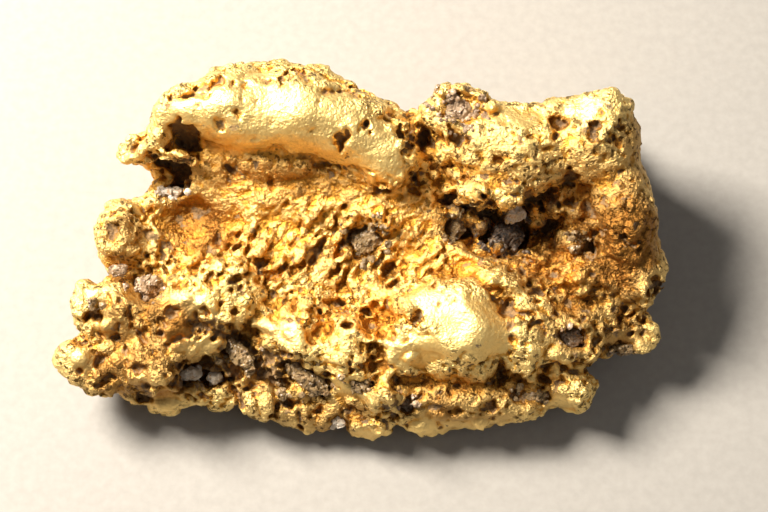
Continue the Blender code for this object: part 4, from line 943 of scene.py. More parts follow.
@dataclass
class GoldNugget:
    """The one grown mass of native gold."""

    node: str = "gold_nugget"
    coarse_cell: float = 0.8
    fine_cell: float = 0.3
    faces: int = 198_000
    hidden_loss: float = 0.85
    sliver: float = 0.03
    knob_sink: float = 0.3
    shade_reach: float = 9.0
    shade_rays: int = 10
    crevice_steps: int = 8
    rolling: int = 140
    ground: BVHTree | None = None

    def base(self) -> bpy.types.Object:
        """The CAD node's mesh in the draft frame, joined up and with its flat faces smoothed."""
        bm = bmesh.new()
        bm.from_mesh(bpy.data.objects[self.node].data)
        bmesh.ops.transform(bm, matrix=LIE.to_frame().inverted(), verts=bm.verts)
        bmesh.ops.remove_doubles(bm, verts=bm.verts, dist=0.002)
        gold = object_from("gold", bm)
        self.fuse(gold, [self.lumps(MASSES)], self.coarse_cell)
        apply_modifier(gold, "SMOOTH", factor=0.5, iterations=6)
        points, normals = points_of(gold.data), normals_of(gold.data)
        seen = LIE.seen(points)
        rolled = np.zeros(len(points))
        for spot in ZONES[Zone.WORN]:
            rolled = np.maximum(rolled, 1 - smooth_step(0.5, 1.2, spot.reach(seen)))
        rolled *= smooth_step(-0.1, 0.3, normals[:, 2])
        weigh(gold, "rolled", rolled)
        apply_modifier(gold, "SMOOTH", factor=0.5, iterations=self.rolling, vertex_group="rolled")
        points, normals = points_of(gold.data), normals_of(gold.data)
        seen = LIE.seen(points)
        depth = sum(press.size * (1 - smooth_step(0.2, 1.5, press.reach(seen))) for press in PRESSES)
        points[:, 2] -= depth * smooth_step(-0.1, 0.3, normals[:, 2])
        set_points(gold.data, points)
        return gold

    def zone_shares(self, points: np.ndarray, normals: np.ndarray) -> dict[Zone, np.ndarray]:
        """How much of each kind of surface every vertex has.

        Args:
            points: Vertices in the draft frame.
            normals: Their normals.

        Returns:
            One array for each zone, from 0 to 1, which add up to 1.
        """
        drift = np.stack([wave(points, 3.5), wave(points, 3.5, 40)], axis=1)
        seen = LIE.seen(points) + drift
        front = smooth_step(-0.1, 0.3, normals[:, 2])
        rolled = smooth_step(0.12, 0.45, wave(points, 11, 9)) * (1 - front)
        left = np.ones(len(points))
        shares = {}
        for zone, spots in ZONES.items():
            share = np.zeros(len(points))
            for spot in spots:
                share = np.maximum(share, 1 - smooth_step(0.75, 1.15, spot.reach(seen)))
            share *= front
            if zone is Zone.WORN:
                share = np.maximum(share, rolled)
            shares[zone] = share * left
            left = left - shares[zone]
        shares[Zone.CRUST] = left
        return shares

    def strewn(
        self, gold: bpy.types.Object, shares: dict[Zone, np.ndarray], scatter: Scatter, draw: np.random.Generator
    ) -> bpy.types.Object:
        """Strews one kind of lump over its zone.

        Args:
            gold: The surface that they sit on.
            shares: How much of each kind of surface its vertices have.
            scatter: What to strew.
            draw: The source of chance.

        Returns:
            The lumps as one loose object.
        """
        points, normals = points_of(gold.data), normals_of(gold.data)
        weight = shares[scatter.zone] ** 2
        picked = draw.choice(len(points), scatter.count, replace=False, p=weight / weight.sum())
        bm = bmesh.new()
        for index in picked:
            out = Vector(normals[index])
            radii = draw.uniform(0.55, 1.3) * np.array(scatter.radii) * draw.uniform(0.8, 1.2, 3)
            place = Vector(points[index]) - out * scatter.sink
            if scatter.heading is None:
                spin, lean = draw.uniform(0, math.tau), draw.uniform(-0.6, 0.6)
            else:
                spin = math.radians(scatter.heading + draw.normal(0, 14))
                lean = math.radians(scatter.lean + draw.normal(0, 12))
            matrix = Matrix.Translation(place) @ basis(out, spin)
            matrix = matrix @ Matrix.Rotation(lean, 4, "X") @ Matrix.Diagonal((*radii, 1))
            bmesh.ops.create_icosphere(bm, subdivisions=scatter.fine, radius=1, matrix=matrix)
        return object_from("strewn", bm)

    def knobs(self, gold: bpy.types.Object) -> bpy.types.Object:
        """The single knobs that stand out on the face, each seated on the surface under it."""
        tree = BVHTree.FromObject(gold, bpy.context.evaluated_depsgraph_get())
        eye = Vector((*LIE.sight_middle, LIE.sight_distance))
        bm = bmesh.new()
        for knob in KNOBS:
            place = tree.ray_cast(eye, (Vector((knob.u, knob.v, 0)) - eye).normalized())[0]
            if place is None:
                continue
            matrix = (
                Matrix.Translation(place - Vector((0, 0, knob.size * self.knob_sink)))
                @ Matrix.Rotation(math.radians(knob.turn), 4, "Z")
                @ Matrix.Diagonal((knob.long, knob.wide, knob.size, 1))
            )
            bmesh.ops.create_icosphere(bm, subdivisions=3, radius=1, matrix=matrix)
        return object_from("knobs", bm)

    def lumps(self, masses: tuple[Lump, ...], crusted: float = 0.0) -> bpy.types.Object:
        """Lumps at fixed places, a little uneven, as one loose object.

        Args:
            masses: The lumps.
            crusted: How much of the crust's texture they have.
        """
        bm = bmesh.new()
        for lump in masses:
            matrix = (
                Matrix.Translation(lump.middle)
                @ Matrix.Rotation(math.radians(lump.turn), 4, "Z")
                @ Matrix.Diagonal((*lump.half, 1))
            )
            bmesh.ops.create_icosphere(bm, subdivisions=4, radius=1, matrix=matrix)
        bm.normal_update()
        for vertex in bm.verts:
            vertex.co += vertex.normal * (0.9 * noise.noise(vertex.co / 1.7) + 0.35 * noise.noise(vertex.co / 0.7))
        lumps = object_from("lumps", bm)
        if crusted:
            points, normals = points_of(lumps.data), normals_of(lumps.data)
            set_points(lumps.data, points + normals * crusted * self.crust(points)[:, None])
        return lumps

    def fuse(self, gold: bpy.types.Object, lumps: list[bpy.types.Object], cell: float) -> None:
        """Grows the lumps on to the gold as one closed skin of small faces, cell millimetres wide."""
        bm = bmesh.new()
        for obj in [gold, *lumps]:
            bm.from_mesh(obj.data)
        for obj in lumps:
            bpy.data.objects.remove(obj)
        bm.to_mesh(gold.data)
        bm.free()
        apply_modifier(gold, "REMESH", mode="VOXEL", voxel_size=cell)

    def relief(self, points: np.ndarray, shares: dict[Zone, np.ndarray]) -> np.ndarray:
        """How far each vertex stands out, in millimetres, from the texture of its zone.

        Args:
            points: Vertices in the draft frame.
            shares: How much of each kind of surface they have.
        """
        height = np.zeros(len(points))
        for zone, texture in (
            (Zone.WORN, self.worn), (Zone.PLATES, self.plates), (Zone.CRUST, self.crust),
            (Zone.BLADES, self.blades), (Zone.SCALES, self.scales),
        ):
            here = np.flatnonzero(shares[zone] > 0.01)
            height[here] += shares[zone][here] * texture(points[here])
        return height

    def bent(self, points: np.ndarray) -> np.ndarray:
        """Points shaken so that no pattern drawn through them stays regular."""
        warp = np.stack([wave(points, 4, shift) for shift in (3, 13, 23)], axis=1)
        ragged = np.stack([wave(points, 1.1, shift) for shift in (6, 16, 26)], axis=1)
        return points + warp * 0.9 + ragged * 0.22

    def broad(self, points: np.ndarray) -> np.ndarray:
        """Low swells that every kind of surface has."""
        return 0.35 * wave(points, 6.5) + 0.2 * wave(points, 2.6, 5)

    def worn(self, points: np.ndarray) -> np.ndarray:
        """Rolled gold: low swells, small round dents and finer pricks."""
        wide, fine = cells(points, 2.9, 31), cells(points, 1.5, 35)
        dents = -0.6 * smooth_step(0.32, 0.36, wide.level()) * (1 - smooth_step(0.06, 0.2, wide.near))
        pricks = -0.35 * smooth_step(0.28, 0.34, fine.level()) * (1 - smooth_step(0.12, 0.3, fine.near))
        swell = 0.2 * wave(points, 4.2, 15) + 0.16 * cells(points, 3.4, 71).tilt()
        return 0.65 * self.broad(points) + swell + dents + pricks + 0.08 * wave(points, 0.8, 12)

    def corns(self, bent: np.ndarray, cracked: np.ndarray) -> np.ndarray:
        """Round grains the size of a peppercorn, with cracks between them where they have parted."""
        found = cells(bent, 2.1, 19)
        return 0.55 * np.sqrt(np.clip(1 - (found.near / 0.8) ** 2, 0, 1)) - 0.5 * cracked * found.joint(0.14)

    def plates(self, points: np.ndarray) -> np.ndarray:
        """Grains worn low, with fine cracks and a few small hollows."""
        bent, cracked = self.bent(points), smooth_step(-0.1, 0.35, wave(points, 5, 61))
        facets = cells(bent, 1.3, 9)
        vug = -0.8 * smooth_step(0.45, 0.65, wave(bent, 2.2, 50))
        return (
            0.9 * self.broad(points) + 1.0 * self.corns(bent, cracked) + vug
            + 0.15 * facets.tilt() - 0.25 * cracked * facets.joint(0.16) + 0.07 * wave(points, 0.8, 12)
        )

    def crust(self, points: np.ndarray) -> np.ndarray:
        """Packed nodules with smaller grains on them, parted by deep joints and hollows."""
        bent, cracked = self.bent(points), smooth_step(-0.1, 0.35, wave(points, 5, 61))
        cobbles = cells(bent, 3.6)
        cobble = 0.9 * (0.5 - cobbles.near ** 2) + 0.7 * cobbles.level() + 0.5 * cobbles.tilt()
        split = -(0.2 + 1.0 * cracked) * cobbles.joint(0.12)
        vug = -1.1 * smooth_step(0.5, 0.7, wave(bent, 2.6, 50))
        return (
            self.broad(points) + cobble + split + 0.7 * self.corns(bent, cracked) + vug
            + 0.09 * wave(points, 0.8, 12)
        )

    def blades(self, points: np.ndarray) -> np.ndarray:
        """Long leaning blades of crystal gold, higher in some places than in others."""
        uneven = 0.85 + 0.7 * wave(points, 7, 90)
        blades = uneven * self.shingles(self.bent(points), 50, (6.4, 2.7), 1.15)
        return self.broad(points) + blades + 0.09 * wave(points, 0.8, 12)

    def scales(self, points: np.ndarray) -> np.ndarray:
        """Small flakes that overlap on a steep wall."""
        uneven = 0.85 + 0.7 * wave(points, 7, 90)
        flakes = uneven * self.shingles(self.bent(points), 30, (2.8, 1.2), 0.36)
        return self.broad(points) + flakes + 0.12 * wave(points, 0.8, 12)

    def shingles(self, points: np.ndarray, heading: float, size: tuple[float, float], rise: float) -> np.ndarray:
        """Overlapping blades, each rising away from the key side and then breaking off.

        Args:
            points: Vertices in the draft frame.
            heading: The way the blades' edges run, in degrees from the draft x.
            size: A blade's usual length and width in millimetres.
            rise: How far a blade climbs across its width.
        """
        turn = math.radians(heading)
        along = points[:, 0] * math.cos(turn) + points[:, 1] * math.sin(turn)
        across = points[:, 0] * math.sin(turn) - points[:, 1] * math.cos(turn)
        drawn = np.stack([along / size[0], across / size[1], points[:, 2] / (2 * size[1])], axis=1)
        coarse, fine = cells(drawn, 1.0, 3), cells(drawn, 0.5, 8)
        return (
            rise * (coarse.offset[:, 1] + 0.5 * coarse.level() + 0.3 * coarse.tilt())
            + 0.45 * rise * (fine.offset[:, 1] + 0.5 * fine.level())
            - 0.25 * rise * coarse.joint(0.15)
        )

    def rough_seen(self, points: np.ndarray) -> np.ndarray:
        """Where points show on the face, shaken a little so that no drawn rim stays smooth."""
        shake = np.stack([wave(points, 2.5, 44), wave(points, 2.5, 54)], axis=1) * 1.3
        jag = np.stack([wave(points, 0.9, 64), wave(points, 0.9, 74)], axis=1) * 0.7
        return np.asfortranarray(LIE.seen(points) + shake + jag)

    def kept(self, points: np.ndarray) -> np.ndarray:
        """Where a crease stays open: it is closed over in places, so that it runs in pieces."""
        return smooth_step(-0.45, 0.15, wave(points, 2.6, 47))

    def carve(self, gold: bpy.types.Object) -> None:
        """Presses the pits, creases and cavities into the surface, along the line of sight."""
        points, normals = points_of(gold.data), normals_of(gold.data)
        seen = self.rough_seen(points)
        depth = np.zeros(len(points))
        kept = self.kept(points)
        for hollow in PITS + GROOVES + CAVITIES:
            here = near(hollow, seen)
            share = kept[here] if isinstance(hollow, Groove) else 1.0
            depth[here] = np.maximum(depth[here], hollow.size * share * hollow.bowl(seen[here]))
        depth *= smooth_step(-0.35, 0.05, normals[:, 2]) * (0.9 + 0.35 * wave(points, 3.5, 37))
        inward = normals * 0.25 + np.array([0, 0, 0.75])
        set_points(gold.data, points - inward * depth[:, None])

    def spread(self, points: np.ndarray, spots: tuple[Spot, ...]) -> np.ndarray:
        """How strongly the nearest of some soft spots of the face shows at each vertex."""
        seen = LIE.seen(points) + np.stack([wave(points, 6, 81), wave(points, 6, 91)], axis=1) * 1.5
        share = np.zeros(len(points))
        for spot in spots:
            share = np.maximum(share, spot.size * (1 - smooth_step(0.5, 1.3, spot.reach(seen))))
        return share

    def earth_and_painted_shade(self, points: np.ndarray, normals: np.ndarray) -> np.ndarray:
        """How much brown earth colour each vertex takes, from 0 to 1, strongest on the floors of pits, creases,
        cavities and small hollows: partly earth left there, partly painted shade.
        """
        seen = self.rough_seen(points)
        earth_shade = np.zeros(len(seen))
        kept = self.kept(points)
        for hollow in PITS + GROOVES + CAVITIES:
            here = near(hollow, seen)
            share = kept[here] if isinstance(hollow, Groove) else 1.0
            earth_shade[here] = np.maximum(earth_shade[here], hollow.earth_shade * share * hollow.bowl(seen[here]) ** 1.6)
        patchy = 0.75 + 0.5 * wave(points, 3.0, 33)
        pressed = earth_shade * patchy * smooth_step(-0.2, 0.2, normals[:, 2])
        return np.maximum(pressed, 0.75 * smooth_step(0.42, 0.62, wave(self.bent(points), 2.6, 50)))

    def crevice(self, gold: bpy.types.Object) -> np.ndarray:
        """How deep each vertex lies in a crease between its neighbours, in millimetres."""
        mesh = gold.data
        ends = np.empty(len(mesh.edges) * 2, np.int32)
        mesh.edges.foreach_get("vertices", ends)
        ends = ends.reshape(-1, 2)
        one, other = np.concatenate([ends[:, 0], ends[:, 1]]), np.concatenate([ends[:, 1], ends[:, 0]])
        links = np.maximum(np.bincount(one, minlength=len(mesh.vertices)), 1)
        points, normals = points_of(mesh), normals_of(mesh)
        level = points.copy()
        for _ in range(self.crevice_steps):
            level = np.stack(
                [np.bincount(one, weights=level[other, axis], minlength=len(points)) / links for axis in range(3)],
                axis=1,
            )
        return ((level - points) * normals).sum(axis=1)

    def openness(self, gold: bpy.types.Object) -> np.ndarray:
        """The share of the sky that each vertex sees past the rest of the gold.

        Returns:
            0 in a closed pocket to 1 on an open crest.
        """
        tree = BVHTree.FromObject(gold, bpy.context.evaluated_depsgraph_get())
        fan = []
        for i in range(self.shade_rays):
            high = math.sqrt((i + 0.5) / self.shade_rays)
            fan.append((math.sqrt(1 - high * high), high, i * math.pi * (3 - math.sqrt(5))))
        clear = np.zeros(len(gold.data.vertices))
        for index, vertex in enumerate(gold.data.vertices):
            out = vertex.normal
            side = out.orthogonal().normalized()
            other = out.cross(side)
            start = vertex.co + out * 0.12
            for flat, high, swing in fan:
                turn = swing + index * 2.4
                way = out * high + side * (flat * math.cos(turn)) + other * (flat * math.sin(turn))
                if tree.ray_cast(start, way, self.shade_reach)[0] is None:
                    clear[index] += 1
        return clear / self.shade_rays

    def sculpt(self) -> bpy.types.Object:
        """Makes the gold's fine skin, in the draft frame."""
        draw = np.random.default_rng(SEED)
        gold = self.base()
        shares = self.zone_shares(points_of(gold.data), normals_of(gold.data))
        lumps = [self.knobs(gold), self.lumps(LUMPS)]
        lumps += [self.strewn(gold, shares, scatter, draw) for scatter in SCATTERS]
        self.fuse(gold, lumps, self.fine_cell)
        apply_modifier(gold, "SMOOTH", factor=0.4, iterations=1)
        LOG.info("gold with its lumps: %d vertices", len(gold.data.vertices))
        points, normals = points_of(gold.data), normals_of(gold.data)
        shares = self.zone_shares(points, normals)
        set_points(gold.data, points + normals * self.relief(points, shares)[:, None])
        self.carve(gold)
        self.fuse(gold, [self.lumps(ISLANDS, 0.8)], self.fine_cell)
        apply_modifier(gold, "TRIANGULATE")
        LOG.info("gold sculpted: %d triangles", len(gold.data.polygons))
        self.thin_out(gold)
        return gold

    def thin_out(self, gold: bpy.types.Object) -> None:
        """Takes triangles away, first from the side that the nugget lies on, then where it is flat."""
        hidden = 1 - smooth_step(-0.85, -0.3, normals_of(gold.data)[:, 2])
        weigh(gold, "hidden", hidden)
        apply_modifier(
            gold, "DECIMATE", ratio=1 - self.hidden_loss * hidden.mean(),
            vertex_group="hidden", vertex_group_factor=3.0,
        )
        apply_modifier(gold, "DECIMATE", ratio=min(1.0, self.faces / len(gold.data.polygons)))
        bm = bmesh.new()
        bm.from_mesh(gold.data)
        bmesh.ops.dissolve_degenerate(bm, dist=self.sliver, edges=bm.edges)
        bmesh.ops.triangulate(bm, faces=bm.faces)
        bm.to_mesh(gold.data)
        bm.free()

    def dress(self, gold: bpy.types.Object) -> None:
        """Stores what the finish reads at each vertex, and gives the gold that finish."""
        points, normals = points_of(gold.data), normals_of(gold.data)
        store(gold.data, "earth_and_painted_shade", self.earth_and_painted_shade(points, normals))
        store(gold.data, "crevice", self.crevice(gold))
        shares = self.zone_shares(points, normals)
        store(gold.data, "worn", shares[Zone.WORN])
        store(gold.data, "whole", shares[Zone.WORN] + 0.65 * shares[Zone.SCALES] + 0.25 * shares[Zone.BLADES])
        store(gold.data, "satin", shares[Zone.WORN] + shares[Zone.PLATES] + 0.5 * shares[Zone.CRUST])
        # Painted shade: broad patches on the backs that face down are darkened towards brown too.
        back_shade = 0.8 * smooth_step(-0.1, 0.45, wave(points, 13, 71)) * smooth_step(0.3, -0.2, normals[:, 2])
        store(gold.data, "patina_and_painted_shade", np.maximum(back_shade, self.spread(points, PATINA_AND_SHADE_SPOTS)))
        store(gold.data, "painted_bounce_shade", self.spread(points, BOUNCE_SHADE_SPOTS))
        store(gold.data, "openness", self.openness(gold))
        gold.data.materials.clear()
        gold.data.materials.append(NativeGold().material())
        gold.data.shade_smooth()

    def build(self) -> bpy.types.Object:
        """Makes the finished piece in the row frame."""
        gold = self.sculpt()
        self.dress(gold)
        self.ground = BVHTree.FromObject(gold, bpy.context.evaluated_depsgraph_get())
        gold.data.transform(LIE.to_frame())
        points = points_of(gold.data)
        points[:, 2] = np.maximum(points[:, 2], 0.0)
        set_points(gold.data, points)
        gold.name = gold.data.name = "native_gold"
        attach(gold, "root")
        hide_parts(self.node)
        return gold


# --------------------------------------------------------------------------- the stones


@dataclass(frozen=True)
class Stone:
    """Quartz or ironstone left in a pocket of the gold: one grain with crumbs grown round it."""

    node: str
    slot: str
    name: str
    crumbs: int = 12
    sink: float = 1.0
    spread: float = 1.25
    grit: float = 1.3
    rough: float = 0.5
    cell: float = 0.17

    def build(self, finish: bpy.types.Material, ground: BVHTree, draw: np.random.Generator) -> bpy.types.Object:
        """Breaks the CAD grain's plain faces up, sinks it and strews crumbs on the gold beside it.

        Args:
            finish: The stone's material.
            ground: The gold's skin in the draft frame.
            draw: The source of chance.

        Returns:
            The finished piece in the row frame.
        """
        bm = bmesh.new()
        bm.from_mesh(bpy.data.objects[self.node].data)
        bmesh.ops.transform(bm, matrix=LIE.to_frame().inverted(), verts=bm.verts)
        bmesh.ops.remove_doubles(bm, verts=bm.verts, dist=0.002)
        places = np.array([vertex.co for vertex in bm.verts])
        middle, half = (places.max(0) + places.min(0)) / 2, (places.max(0) - places.min(0)) / 2
        bmesh.ops.translate(bm, verts=bm.verts, vec=(0, 0, -self.sink))
        eye = Vector((*LIE.sight_middle, LIE.sight_distance))
        for _ in range(self.crumbs):
            swing, out = draw.uniform(0, math.tau), draw.uniform(0.55, self.spread)
            aim = Vector((middle[0] + half[0] * out * math.cos(swing), middle[1] + half[1] * out * math.sin(swing), middle[2]))
            radii = draw.uniform(0.35, 0.85) * draw.uniform(0.7, 1.3, 3)
            turn = Matrix.Rotation(draw.uniform(0, math.tau), 4, Vector(draw.normal(0, 1, 3)))
            hit = ground.ray_cast(eye, (aim - eye).normalized())[0]
            if hit is None or abs(hit.z - middle[2]) > half[2] + 2.0:
                continue
            matrix = Matrix.Translation(hit) @ turn @ Matrix.Diagonal((*radii, 1))
            bmesh.ops.create_icosphere(bm, subdivisions=2, radius=1, matrix=matrix)
        stone = object_from(self.name, bm)
        apply_modifier(stone, "REMESH", mode="VOXEL", voxel_size=self.cell)
        points, normals = points_of(stone.data), normals_of(stone.data)
        chips, splinters = cells(points, self.grit), cells(points, self.grit * 0.4, 5)
        height = self.rough * (chips.tilt() + 0.8 * chips.level()) + 0.3 * self.rough * splinters.tilt()
        set_points(stone.data, points + normals * height[:, None])
        apply_modifier(stone, "TRIANGULATE")
        apply_modifier(stone, "DECIMATE", ratio=0.5)
        stone.data.transform(LIE.to_frame())
        points = points_of(stone.data)
        points[:, 2] = np.maximum(points[:, 2], 0.0)
        set_points(stone.data, points)
        stone.data.materials.clear()
        stone.data.materials.append(finish)
        stone.data.shade_flat()
        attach(stone, "root")
        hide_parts(self.node)
        return stone


STONES = (
    Stone("quartz_top_vein", "stained_quartz", "top_vein_quartz", 40, 3.0, 1.9),
    Stone("quartz_hollow_left", "smoky_quartz", "hollow_left_quartz", 16, 2.2),
    Stone("ironstone_hollow", "ironstone", "hollow_ironstone", 40, 0.8, 1.8),
    Stone("quartz_hollow_white", "milky_quartz", "hollow_white_quartz", 8, 0.8),
    Stone("quartz_hollow_right", "smoky_quartz", "hollow_right_quartz", 16, 2.2, 1.5),
    Stone("quartz_trough", "smoky_quartz", "trough_quartz", 30, 2.6, 1.7),
    Stone("quartz_window", "milky_quartz", "window_quartz", 10, 1.4, 1.3),
    Stone("quartz_left_pocket", "stained_quartz", "left_pocket_quartz", 26, 3.0, 1.6),
    Stone("quartz_left_pink", "stained_quartz", "left_pink_quartz", 8, 0.8),
    Stone("quartz_left_lobe", "smoky_quartz", "left_lobe_quartz", 8, 1.0),
    Stone("quartz_front_long", "milky_quartz", "front_long_quartz", 8, -0.4, rough=0.25),
    Stone("quartz_front_short", "milky_quartz", "front_short_quartz", 8, -0.4, rough=0.25),
    Stone("quartz_groove_left", "smoky_quartz", "groove_left_quartz", 24, 2.0, 1.6),
    Stone("quartz_groove_right", "smoky_quartz", "groove_right_quartz", 24, 2.0, 1.6),
    Stone("quartz_lip_eye", "smoky_quartz", "lip_eye_quartz", 10, 1.0),
    Stone("quartz_front_white", "milky_quartz", "front_white_quartz", 6, 0.4, rough=0.3),
    Stone("quartz_front_pink", "stained_quartz", "front_pink_quartz", 8, 0.8),
    Stone("quartz_right_grey", "smoky_quartz", "right_grey_quartz", 12, 0.8),
    Stone("quartz_right_brown", "stained_quartz", "right_brown_quartz", 10, 1.4),
    Stone("quartz_right_foot", "smoky_quartz", "right_foot_quartz", 8, 0.6),
)


# --------------------------------------------------------------------------- finishes


def add_node(
    tree: bpy.types.NodeTree, kind: str, inputs: dict[str | int, object] | None = None, **settings: object
) -> bpy.types.Node:
    """Adds one shader node.

    Args:
        tree: The material's node tree.
        kind: The node's type without its ShaderNode prefix.
        inputs: What each input takes, by name or place: another node's socket or a value.
        settings: The node's own properties.

    Returns:
        The node.
    """
    node = tree.nodes.new("ShaderNode" + kind)
    for name, value in settings.items():
        setattr(node, name, value)
    for name, value in (inputs or {}).items():
        if isinstance(value, bpy.types.NodeSocket):
            tree.links.new(value, node.inputs[name])
        else:
            node.inputs[name].default_value = value
    return node


def new_material(name: str) -> tuple[bpy.types.Material, bpy.types.NodeTree, bpy.types.Node]:
    """Makes a material and returns it with its tree and its shader."""
    material = bpy.data.materials.new(name)
    material.use_nodes = True
    tree = material.node_tree
    return material, tree, tree.nodes["Principled BSDF"]


def colour_band(
    tree: bpy.types.NodeTree, share: bpy.types.NodeSocket, stops: tuple[tuple[float, str], ...]
) -> bpy.types.NodeSocket:
    """Turns a number into a colour.

    Args:
        tree: The material's node tree.
        share: The number.
        stops: Places from 0 to 1, rising, each with its hex colour.

    Returns:
        The colour's socket.
    """
    node = add_node(tree, "ValToRGB", {"Fac": share})
    band = node.color_ramp
    while len(band.elements) < len(stops):
        band.elements.new(0.5)
    for element, (place, colour) in zip(band.elements, stops):
        element.position = place
        element.color = linear(colour)
    return node.outputs["Color"]


@dataclass(frozen=True)
class NativeGold:
    """Native gold, rolled satin on its crests and left as it crystallised in its hollows.

    Crests are satin from gravel wear. The colour paints light and shade: paler where the gold lies open,
    orange to brown in hollows and creases. Hollows are hackly and rougher, with brown iron-stained earth in the
    creases and the deepest pockets, whose colour also paints their shade.
    """

    # The colour band's dark end is painted shade for pockets and creases, and its crest colour is painted light for
    # open crests.
    crest: str = "#F7D98F"
    # Paler colour laid on open worn gold: partly rolled wear, partly a painted sheen that stands in for highlight.
    rolled: str = "#F8D88E"
    body: str = "#E8B860"
    recess_shade: str = "#DDA646"
    shaded: str = "#9A6C30"
    # Deep orange painted for shade lit by light bounced between gold walls.
    bounce_orange: str = "#E39C34"
    # Dull brown, partly patina and partly painted shade.
    patina_shade: str = "#9C6E34"
    earth: str = "#6E5A44"
    rust: str = "#A07C4C"
    crack: str = "#4E3214"
    satin_roughness: float = 0.46
    hackly_roughness: float = 0.35
    blotch_mm: float = 9.0
    speck_mm: float = 1.1
    ripple_mm: float = 1.5
    grain_mm: float = 0.5
    dust_mm: float = 0.22
    facet_mm: float = 0.9
    crack_mm: tuple[float, float] = (2.7, 1.3)

    def material(self) -> bpy.types.Material:
        """Builds the node tree."""
        material, tree, shader = new_material("native gold, waterworn")
        place = add_node(tree, "TexCoord").outputs["Object"]
        earth_and_painted_shade, worn, whole, satin, patina_and_painted_shade, painted_bounce_shade, clear, crevice = (
            add_node(tree, "Attribute", attribute_name=name).outputs["Fac"]
            for name in ("earth_and_painted_shade", "worn", "whole", "satin", "patina_and_painted_shade", "painted_bounce_shade", "openness", "crevice")
        )
        blotch, speck, ripple, grain, dust = (
            add_node(tree, "TexNoise", {"Vector": place, "Scale": 1 / (size * MM), "Detail": 4.0}).outputs["Fac"]
            for size in (self.blotch_mm, self.speck_mm, self.ripple_mm, self.grain_mm, self.dust_mm)
        )
        # Painted light and shade: the gold darkens to orange and brown in creases and where little of the room is
        # open, and pales to the crest colour where it lies open. Creases also add to the earth share below, which
        # dulls the gold.
        crease = add_node(
            tree, "MapRange", {"Value": crevice, "From Min": 0.0, "From Max": 0.17}, interpolation_type="SMOOTHSTEP"
        ).outputs[0]
        shade_and_light_level = add_node(tree, "Math", {0: blotch, 1: 0.4, 2: clear}, operation="MULTIPLY_ADD").outputs[0]
        shade_and_light_level = add_node(tree, "Math", {0: crease, 1: -0.5, 2: shade_and_light_level}, operation="MULTIPLY_ADD").outputs[0]
        gold = colour_band(
            tree,
            add_node(tree, "MapRange", {"Value": shade_and_light_level, "From Min": 0.3, "From Max": 1.2}).outputs[0],
            ((0.0, self.shaded), (0.2, self.recess_shade), (0.5, self.body), (0.9, self.crest)),
        )
        # Painted sheen: open worn gold is mixed towards the rolled colour, partly wear and partly highlight painted
        # in.
        painted_sheen = add_node(tree, "MapRange", {"Value": clear, "From Min": 0.55, "From Max": 1.0, "To Max": 0.55}).outputs[0]
        painted_sheen = add_node(tree, "Math", {0: painted_sheen, 1: worn}, operation="MULTIPLY").outputs[0]
        gold = add_node(tree, "Mix", {0: painted_sheen, 6: gold, 7: linear(self.rolled)}, data_type="RGBA").outputs[2]
        # Painted shade: the listed spots are mixed towards deep orange, the colour of light bounced between gold
        # walls.
        bounce_share = add_node(tree, "Math", {0: painted_bounce_shade, 1: 0.7}, operation="MULTIPLY").outputs[0]
        gold = add_node(tree, "Mix", {0: bounce_share, 6: gold, 7: linear(self.bounce_orange)}, data_type="RGBA").outputs[2]
        # Partly brown patina, partly painted shade: the listed spots and the backs are mixed towards dull brown.
        patina_shade_share = add_node(tree, "Math", {0: blotch, 1: 1.5, 2: -0.03}, operation="MULTIPLY_ADD").outputs[0]
        patina_shade_share = add_node(tree, "Math", {0: patina_shade_share, 1: patina_and_painted_shade}, operation="MULTIPLY", use_clamp=True).outputs[0]
        gold = add_node(tree, "Mix", {0: patina_shade_share, 6: gold, 7: linear(self.patina_shade)}, data_type="RGBA").outputs[2]
        cracks = self.cracks(tree, place, whole)
        split = add_node(tree, "Math", {0: cracks, 1: 0.8}, operation="MULTIPLY").outputs[0]
        gold = add_node(tree, "Mix", {0: split, 6: gold, 7: linear(self.crack)}, data_type="RGBA").outputs[2]
        # Earth stays where it was pressed in. Pockets that are nearly closed, and creases, take the same soil colour
        # as painted shade.
        closed_pocket_shade = add_node(tree, "MapRange", {"Value": clear, "From Min": 0.28, "From Max": 0.05, "To Max": 0.6})
        earth_and_shade_total = add_node(tree, "Math", {0: earth_and_painted_shade, 1: closed_pocket_shade.outputs[0]}, operation="MAXIMUM").outputs[0]
        earth_and_shade_total = add_node(tree, "Math", {0: crease, 1: 0.3, 2: earth_and_shade_total}, operation="MULTIPLY_ADD").outputs[0]
        crumbs = add_node(tree, "TexNoise", {"Vector": place, "Scale": 1 / (0.7 * MM), "Detail": 6.0}).outputs["Fac"]
        broken = add_node(tree, "Math", {0: crumbs, 1: 1.1, 2: earth_and_shade_total}, operation="MULTIPLY_ADD").outputs[0]
        earth_and_shade_share = add_node(
            tree, "MapRange", {"Value": broken, "From Min": 0.98, "From Max": 1.2, "To Max": 0.92},
            interpolation_type="SMOOTHSTEP",
        ).outputs[0]
        soil = colour_band(tree, speck, ((0.35, self.earth), (0.65, self.rust)))
        colour = add_node(tree, "Mix", {0: earth_and_shade_share, 6: gold, 7: soil}, data_type="RGBA").outputs[2]
        tree.links.new(colour, shader.inputs["Base Color"])
        metal = add_node(tree, "MapRange", {"Value": earth_and_shade_share, "To Min": 1.0, "To Max": 0.05}).outputs[0]
        tree.links.new(metal, shader.inputs["Metallic"])
        even = add_node(
            tree, "MapRange", {"Value": satin, "To Min": self.hackly_roughness, "To Max": self.satin_roughness}
        ).outputs[0]
        uneven = add_node(tree, "Math", {0: speck, 1: 0.16, 2: even}, operation="MULTIPLY_ADD").outputs[0]
        dull = add_node(tree, "Math", {0: earth_and_shade_share, 1: 0.3, 2: uneven}, operation="MULTIPLY_ADD").outputs[0]
        tree.links.new(dull, shader.inputs["Roughness"])
